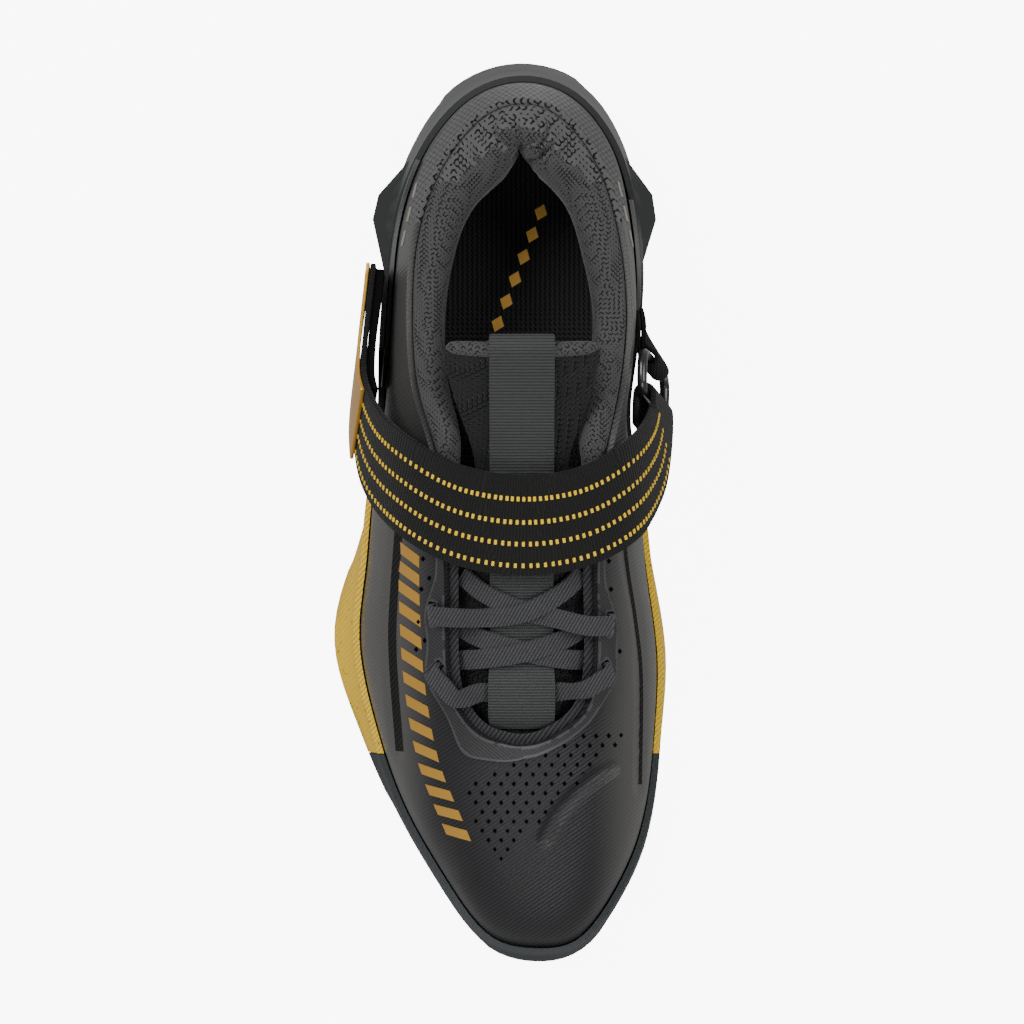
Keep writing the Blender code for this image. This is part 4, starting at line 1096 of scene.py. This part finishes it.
@dataclass
class Strap:
    """The elastic strap with its stitched dashes, its end tab, ring and anchor.

    Attributes:
        nodes: The frame's objects by node.
        width_mm: The strap's width.
        thickness_mm: Its thickness.
        dash_rows_mm: How far each row of dashes lies from its middle.
        dash_mm: Length and width of a dash.
        dash_height_mm: How thick a dash is.
        dash_bevel_mm: How far its corners are cut.
        pitch_mm: From one dash to the next.
        span: Where the rows start and end, as shares of the route.
        pile_mm: Thickness of the pile inside the free end.
        pile_end: Where the pile ends, as a share of the route.
        pile_gap_mm: How far it lies off the strap.
        pile_edge_mm: How far it stays from the strap's edges.
        route: The strap's middle line, with its lean.
    """

    nodes: dict
    width_mm: float = 35.0
    thickness_mm: float = 1.8
    dash_rows_mm: tuple = (-9.7, -1.6, 6.0, 13.6)
    dash_mm: tuple[float, float] = (0.95, 1.6)
    dash_height_mm: float = 0.45
    dash_bevel_mm: float = 0.14
    pitch_mm: float = 2.0
    span: tuple[float, float] = (0.19, 0.9)
    pile_mm: float = 2.6
    pile_end: float = 0.2
    pile_gap_mm: float = 0.15
    pile_edge_mm: float = 1.5
    route: np.ndarray = field(
        default_factory=lambda: np.array(STRAP_ROUTE_MM) + np.array((*SHIFT_MM, 0.0, 0.0))
    )

    def frame(self, f: float) -> tuple[np.ndarray, np.ndarray, np.ndarray, np.ndarray]:
        """Finds the strap's underside.

        Args:
            f: How far along the route, from 0 to 1.

        Returns:
            The place in mm, and the ways along it, across it and out of it.
        """
        line = self.route[:, :3]
        at = smooth_curve(line, f)
        along = smooth_curve(line, min(f + 0.02, 1.0)) - smooth_curve(line, max(f - 0.02, 0.0))
        along /= np.linalg.norm(along)
        lean = smooth_curve(self.route[:, 3:], f)[0]
        out = np.array(((at[0] - MIDDLE_X / MM) / 50.0, -lean, max(at[2] / 100.0 - 0.5, 0.0) * 2))
        out -= out.dot(along) * along
        out /= np.linalg.norm(out)
        return at, along, np.cross(out, along), out

    def build(self) -> None:
        """Makes the strap."""
        strap = soft_copy(self.nodes, "strap", "instep_strap", 2, 50.0, 0.95)
        self.lay_map(strap)
        dress(strap, ELASTIC, "strap")
        self.dashes(Surface(strap))
        self.pile()
        for node, name, sharp, crease, finish in (
            ("strap_end_tab", "strap_gold_end", 50.0, 0.95, GOLD),
            ("strap_ring", "ring", 80.0, 0.0, SMOKED),
            ("ring_webbing", "ring_anchor", 50.0, 0.9, WEBBING),
        ):
            dress(soft_copy(self.nodes, node, name, 2, sharp, crease), finish, node)

    def pile(self) -> None:
        """Lays the black pile on the inside of the strap's free end."""
        path = []
        for f in np.linspace(0.005, self.pile_end, 24):
            at, _, across, out = self.frame(f)
            inside = at - (self.pile_gap_mm + self.pile_mm / 2) * out
            path.append((Vector(inside * MM), Vector(across), Vector(out)))
        half, thick = self.width_mm / 2 - self.pile_edge_mm, self.pile_mm / 2
        section = [(-half, -thick), (half, -thick), (half, thick), (-half, thick)]
        swept("strap_pile_lining", path, section, PILE)

    def lay_map(self, strap: bpy.types.Object) -> None:
        """Gives the strap a map in metres, along and across it.

        Args:
            strap: The strap.
        """
        frames = [self.frame(f) for f in np.linspace(0, 1, 240)]
        places = np.array([at for at, *_ in frames])
        lengths = path_lengths(places)
        across = np.array([side for _, _, side, _ in frames])
        layer = strap.data.uv_layers.new(name="weave")
        spots = {}
        for vertex in strap.data.vertices:
            co = np.array(vertex.co) / MM
            sides = np.einsum("ij,ij->i", co - places, across)
            gaps = np.linalg.norm(co - places - sides[:, None] * across, axis=1)
            k = int(np.argmin(gaps))
            spots[vertex.index] = (lengths[k] * MM, sides[k] * MM)
        for loop in strap.data.loops:
            layer.data[loop.index].uv = spots[loop.vertex_index]

    def dashes(self, surface: Surface) -> None:
        """Lays four rows of raised yellow stitches along the strap.

        Args:
            surface: The strap's surface.
        """
        fine = [self.frame(f) for f in np.linspace(*self.span, 600)]
        places = np.array([at for at, *_ in fine])
        lengths = path_lengths(places)
        bpy.ops.object.select_all(action="DESELECT")
        bpy.ops.mesh.primitive_cube_add(size=1.0)
        stamp = bpy.context.object
        bpy.ops.object.mode_set(mode="EDIT")
        bpy.ops.transform.resize(value=(self.dash_mm[0] * MM, self.dash_mm[1] * MM, self.dash_height_mm * MM))
        bpy.ops.mesh.bevel(offset=self.dash_bevel_mm * MM, segments=1, affect="EDGES")
        bpy.ops.object.mode_set(mode="OBJECT")
        shape = bmesh.new()
        for row in self.dash_rows_mm:
            for length in np.arange(0.0, lengths[-1], self.pitch_mm):
                at, along, across, out = fine[int(np.searchsorted(lengths, length))]
                wanted = Vector((at - row * across + self.thickness_mm * out) * MM)
                place, normal = surface.near(wanted)
                if normal.dot(Vector(out)) < 0.3:
                    continue
                x = Vector(along)
                y = normal.cross(x).normalized()
                turn = Matrix((x, y, normal)).transposed().to_4x4()
                before = len(shape.verts)
                shape.from_mesh(stamp.data)
                shape.verts.ensure_lookup_table()
                bmesh.ops.transform(shape, matrix=Matrix.Translation(place + 0.05 * MM * normal) @ turn,
                                    verts=shape.verts[before:])
        mesh = bpy.data.meshes.new("strap_dashes")
        shape.to_mesh(mesh)
        shape.free()
        bpy.data.objects.remove(stamp)
        obj = bpy.data.objects.new("strap_dashes", mesh)
        bpy.context.scene.collection.objects.link(obj)
        dress(obj, DASH)


@dataclass
class Laces:
    """Flat laces: one bar and two crossings."""

    nodes: dict

    def build(self) -> None:
        """Makes the laces."""
        for node in ("lace_bar", "lace_crossing_lower", "lace_crossing_upper"):
            dress(soft_copy(self.nodes, node, f"flat_{node}", 2, 50.0, 0.7), LACE, node)


@dataclass
class Sole:
    """Outsole, midsole, heel block with its rails, and the sock inside. Sizes are in mm."""

    nodes: dict
    # The rhombi: the line of their middles, their number, and half their length and width.
    rhombus_line: tuple = ((13.0, 98.0), (-4.0, 54.0))
    rhombus_count: int = 7
    rhombus_mm: tuple[float, float] = (2.9, 2.2)
    # The rails: their lines, how far they stand off the upper, and their section.
    rail_lines: tuple = (
        ("outer", ((-26, 113, 56), (-33, 95, 52), (-36, 68, 50), (-37.5, 50, 48), (-37, 40, 45))),
        ("inner", ((37, 110, 56), (42, 92, 52), (44.5, 75, 50), (45.5, 58, 47))),
    )
    rail_gap_mm: float = 1.1
    rail_section: tuple = ((1.0, 0.0), (0.7, 1.8), (-0.4, 2.2), (-0.8, 0.0), (-0.4, -2.2), (0.7, -1.8))

    def build(self, upper: Surface) -> None:
        """Makes the sole.

        Args:
            upper: The upper's surface, for the rails.
        """
        for node, name, finish in (
            ("outsole", "rubber_outsole", RUBBER), ("midsole", "foam_midsole", FOAM),
            ("heel_block", "moulded_heel", MOULDING),
        ):
            dress(soft_copy(self.nodes, node, name, 1, 24.0, 1.0), finish, node)
        sock = soft_copy(self.nodes, "insole", "sock", 0)
        dress(sock, SOCK, "insole")
        self.rhombi(Surface(sock))
        self.rails(upper)

    def rhombi(self, surface: Surface) -> None:
        """Lays a generic row of gold rhombi on the sock.

        Args:
            surface: The sock's surface.
        """
        start, end = (np.array(place) for place in self.rhombus_line)
        ahead = (end - start) / np.linalg.norm(end - start)
        side = np.array((-ahead[1], ahead[0]))
        along, across = self.rhombus_mm[0] * ahead, self.rhombus_mm[1] * side
        quads = []
        for n in range(self.rhombus_count):
            at = start + (end - start) * n / (self.rhombus_count - 1)
            quads.append([at - along, at + across, at + along, at - across])
        decal("sock_gold_rhombi", quads, surface, 0.05, GOLD, (2, 2))

    def rails(self, upper: Surface) -> None:
        """Makes the thickened upper edges of the heel cup, running forward beside the upper.

        Args:
            upper: The upper's surface.
        """
        for name, line in self.rail_lines:
            route = np.array(line, float)
            path = []
            for f in np.linspace(0, 1, 40):
                place, normal = upper.near(Vector(smooth_curve(route, f)) * MM)
                up = Vector((0, 0, 1)) - normal * normal.z
                path.append((place + normal * (self.rail_gap_mm * MM), normal, up.normalized()))
            swept(f"heel_rail_{name}", path, list(self.rail_section), MOULDING)


def main() -> None:
    """Builds the scene."""
    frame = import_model()
    nodes = frame["nodes"]
    Studio().build()
    upper = Shell(nodes).build()
    Collar(nodes).build()
    Tongue(nodes).build()
    Laces(nodes).build()
    Strap(nodes).build()
    Sole(nodes).build(upper)


if __name__ == "__main__":
    logging.basicConfig(level=logging.INFO, format="%(message)s")
    main()
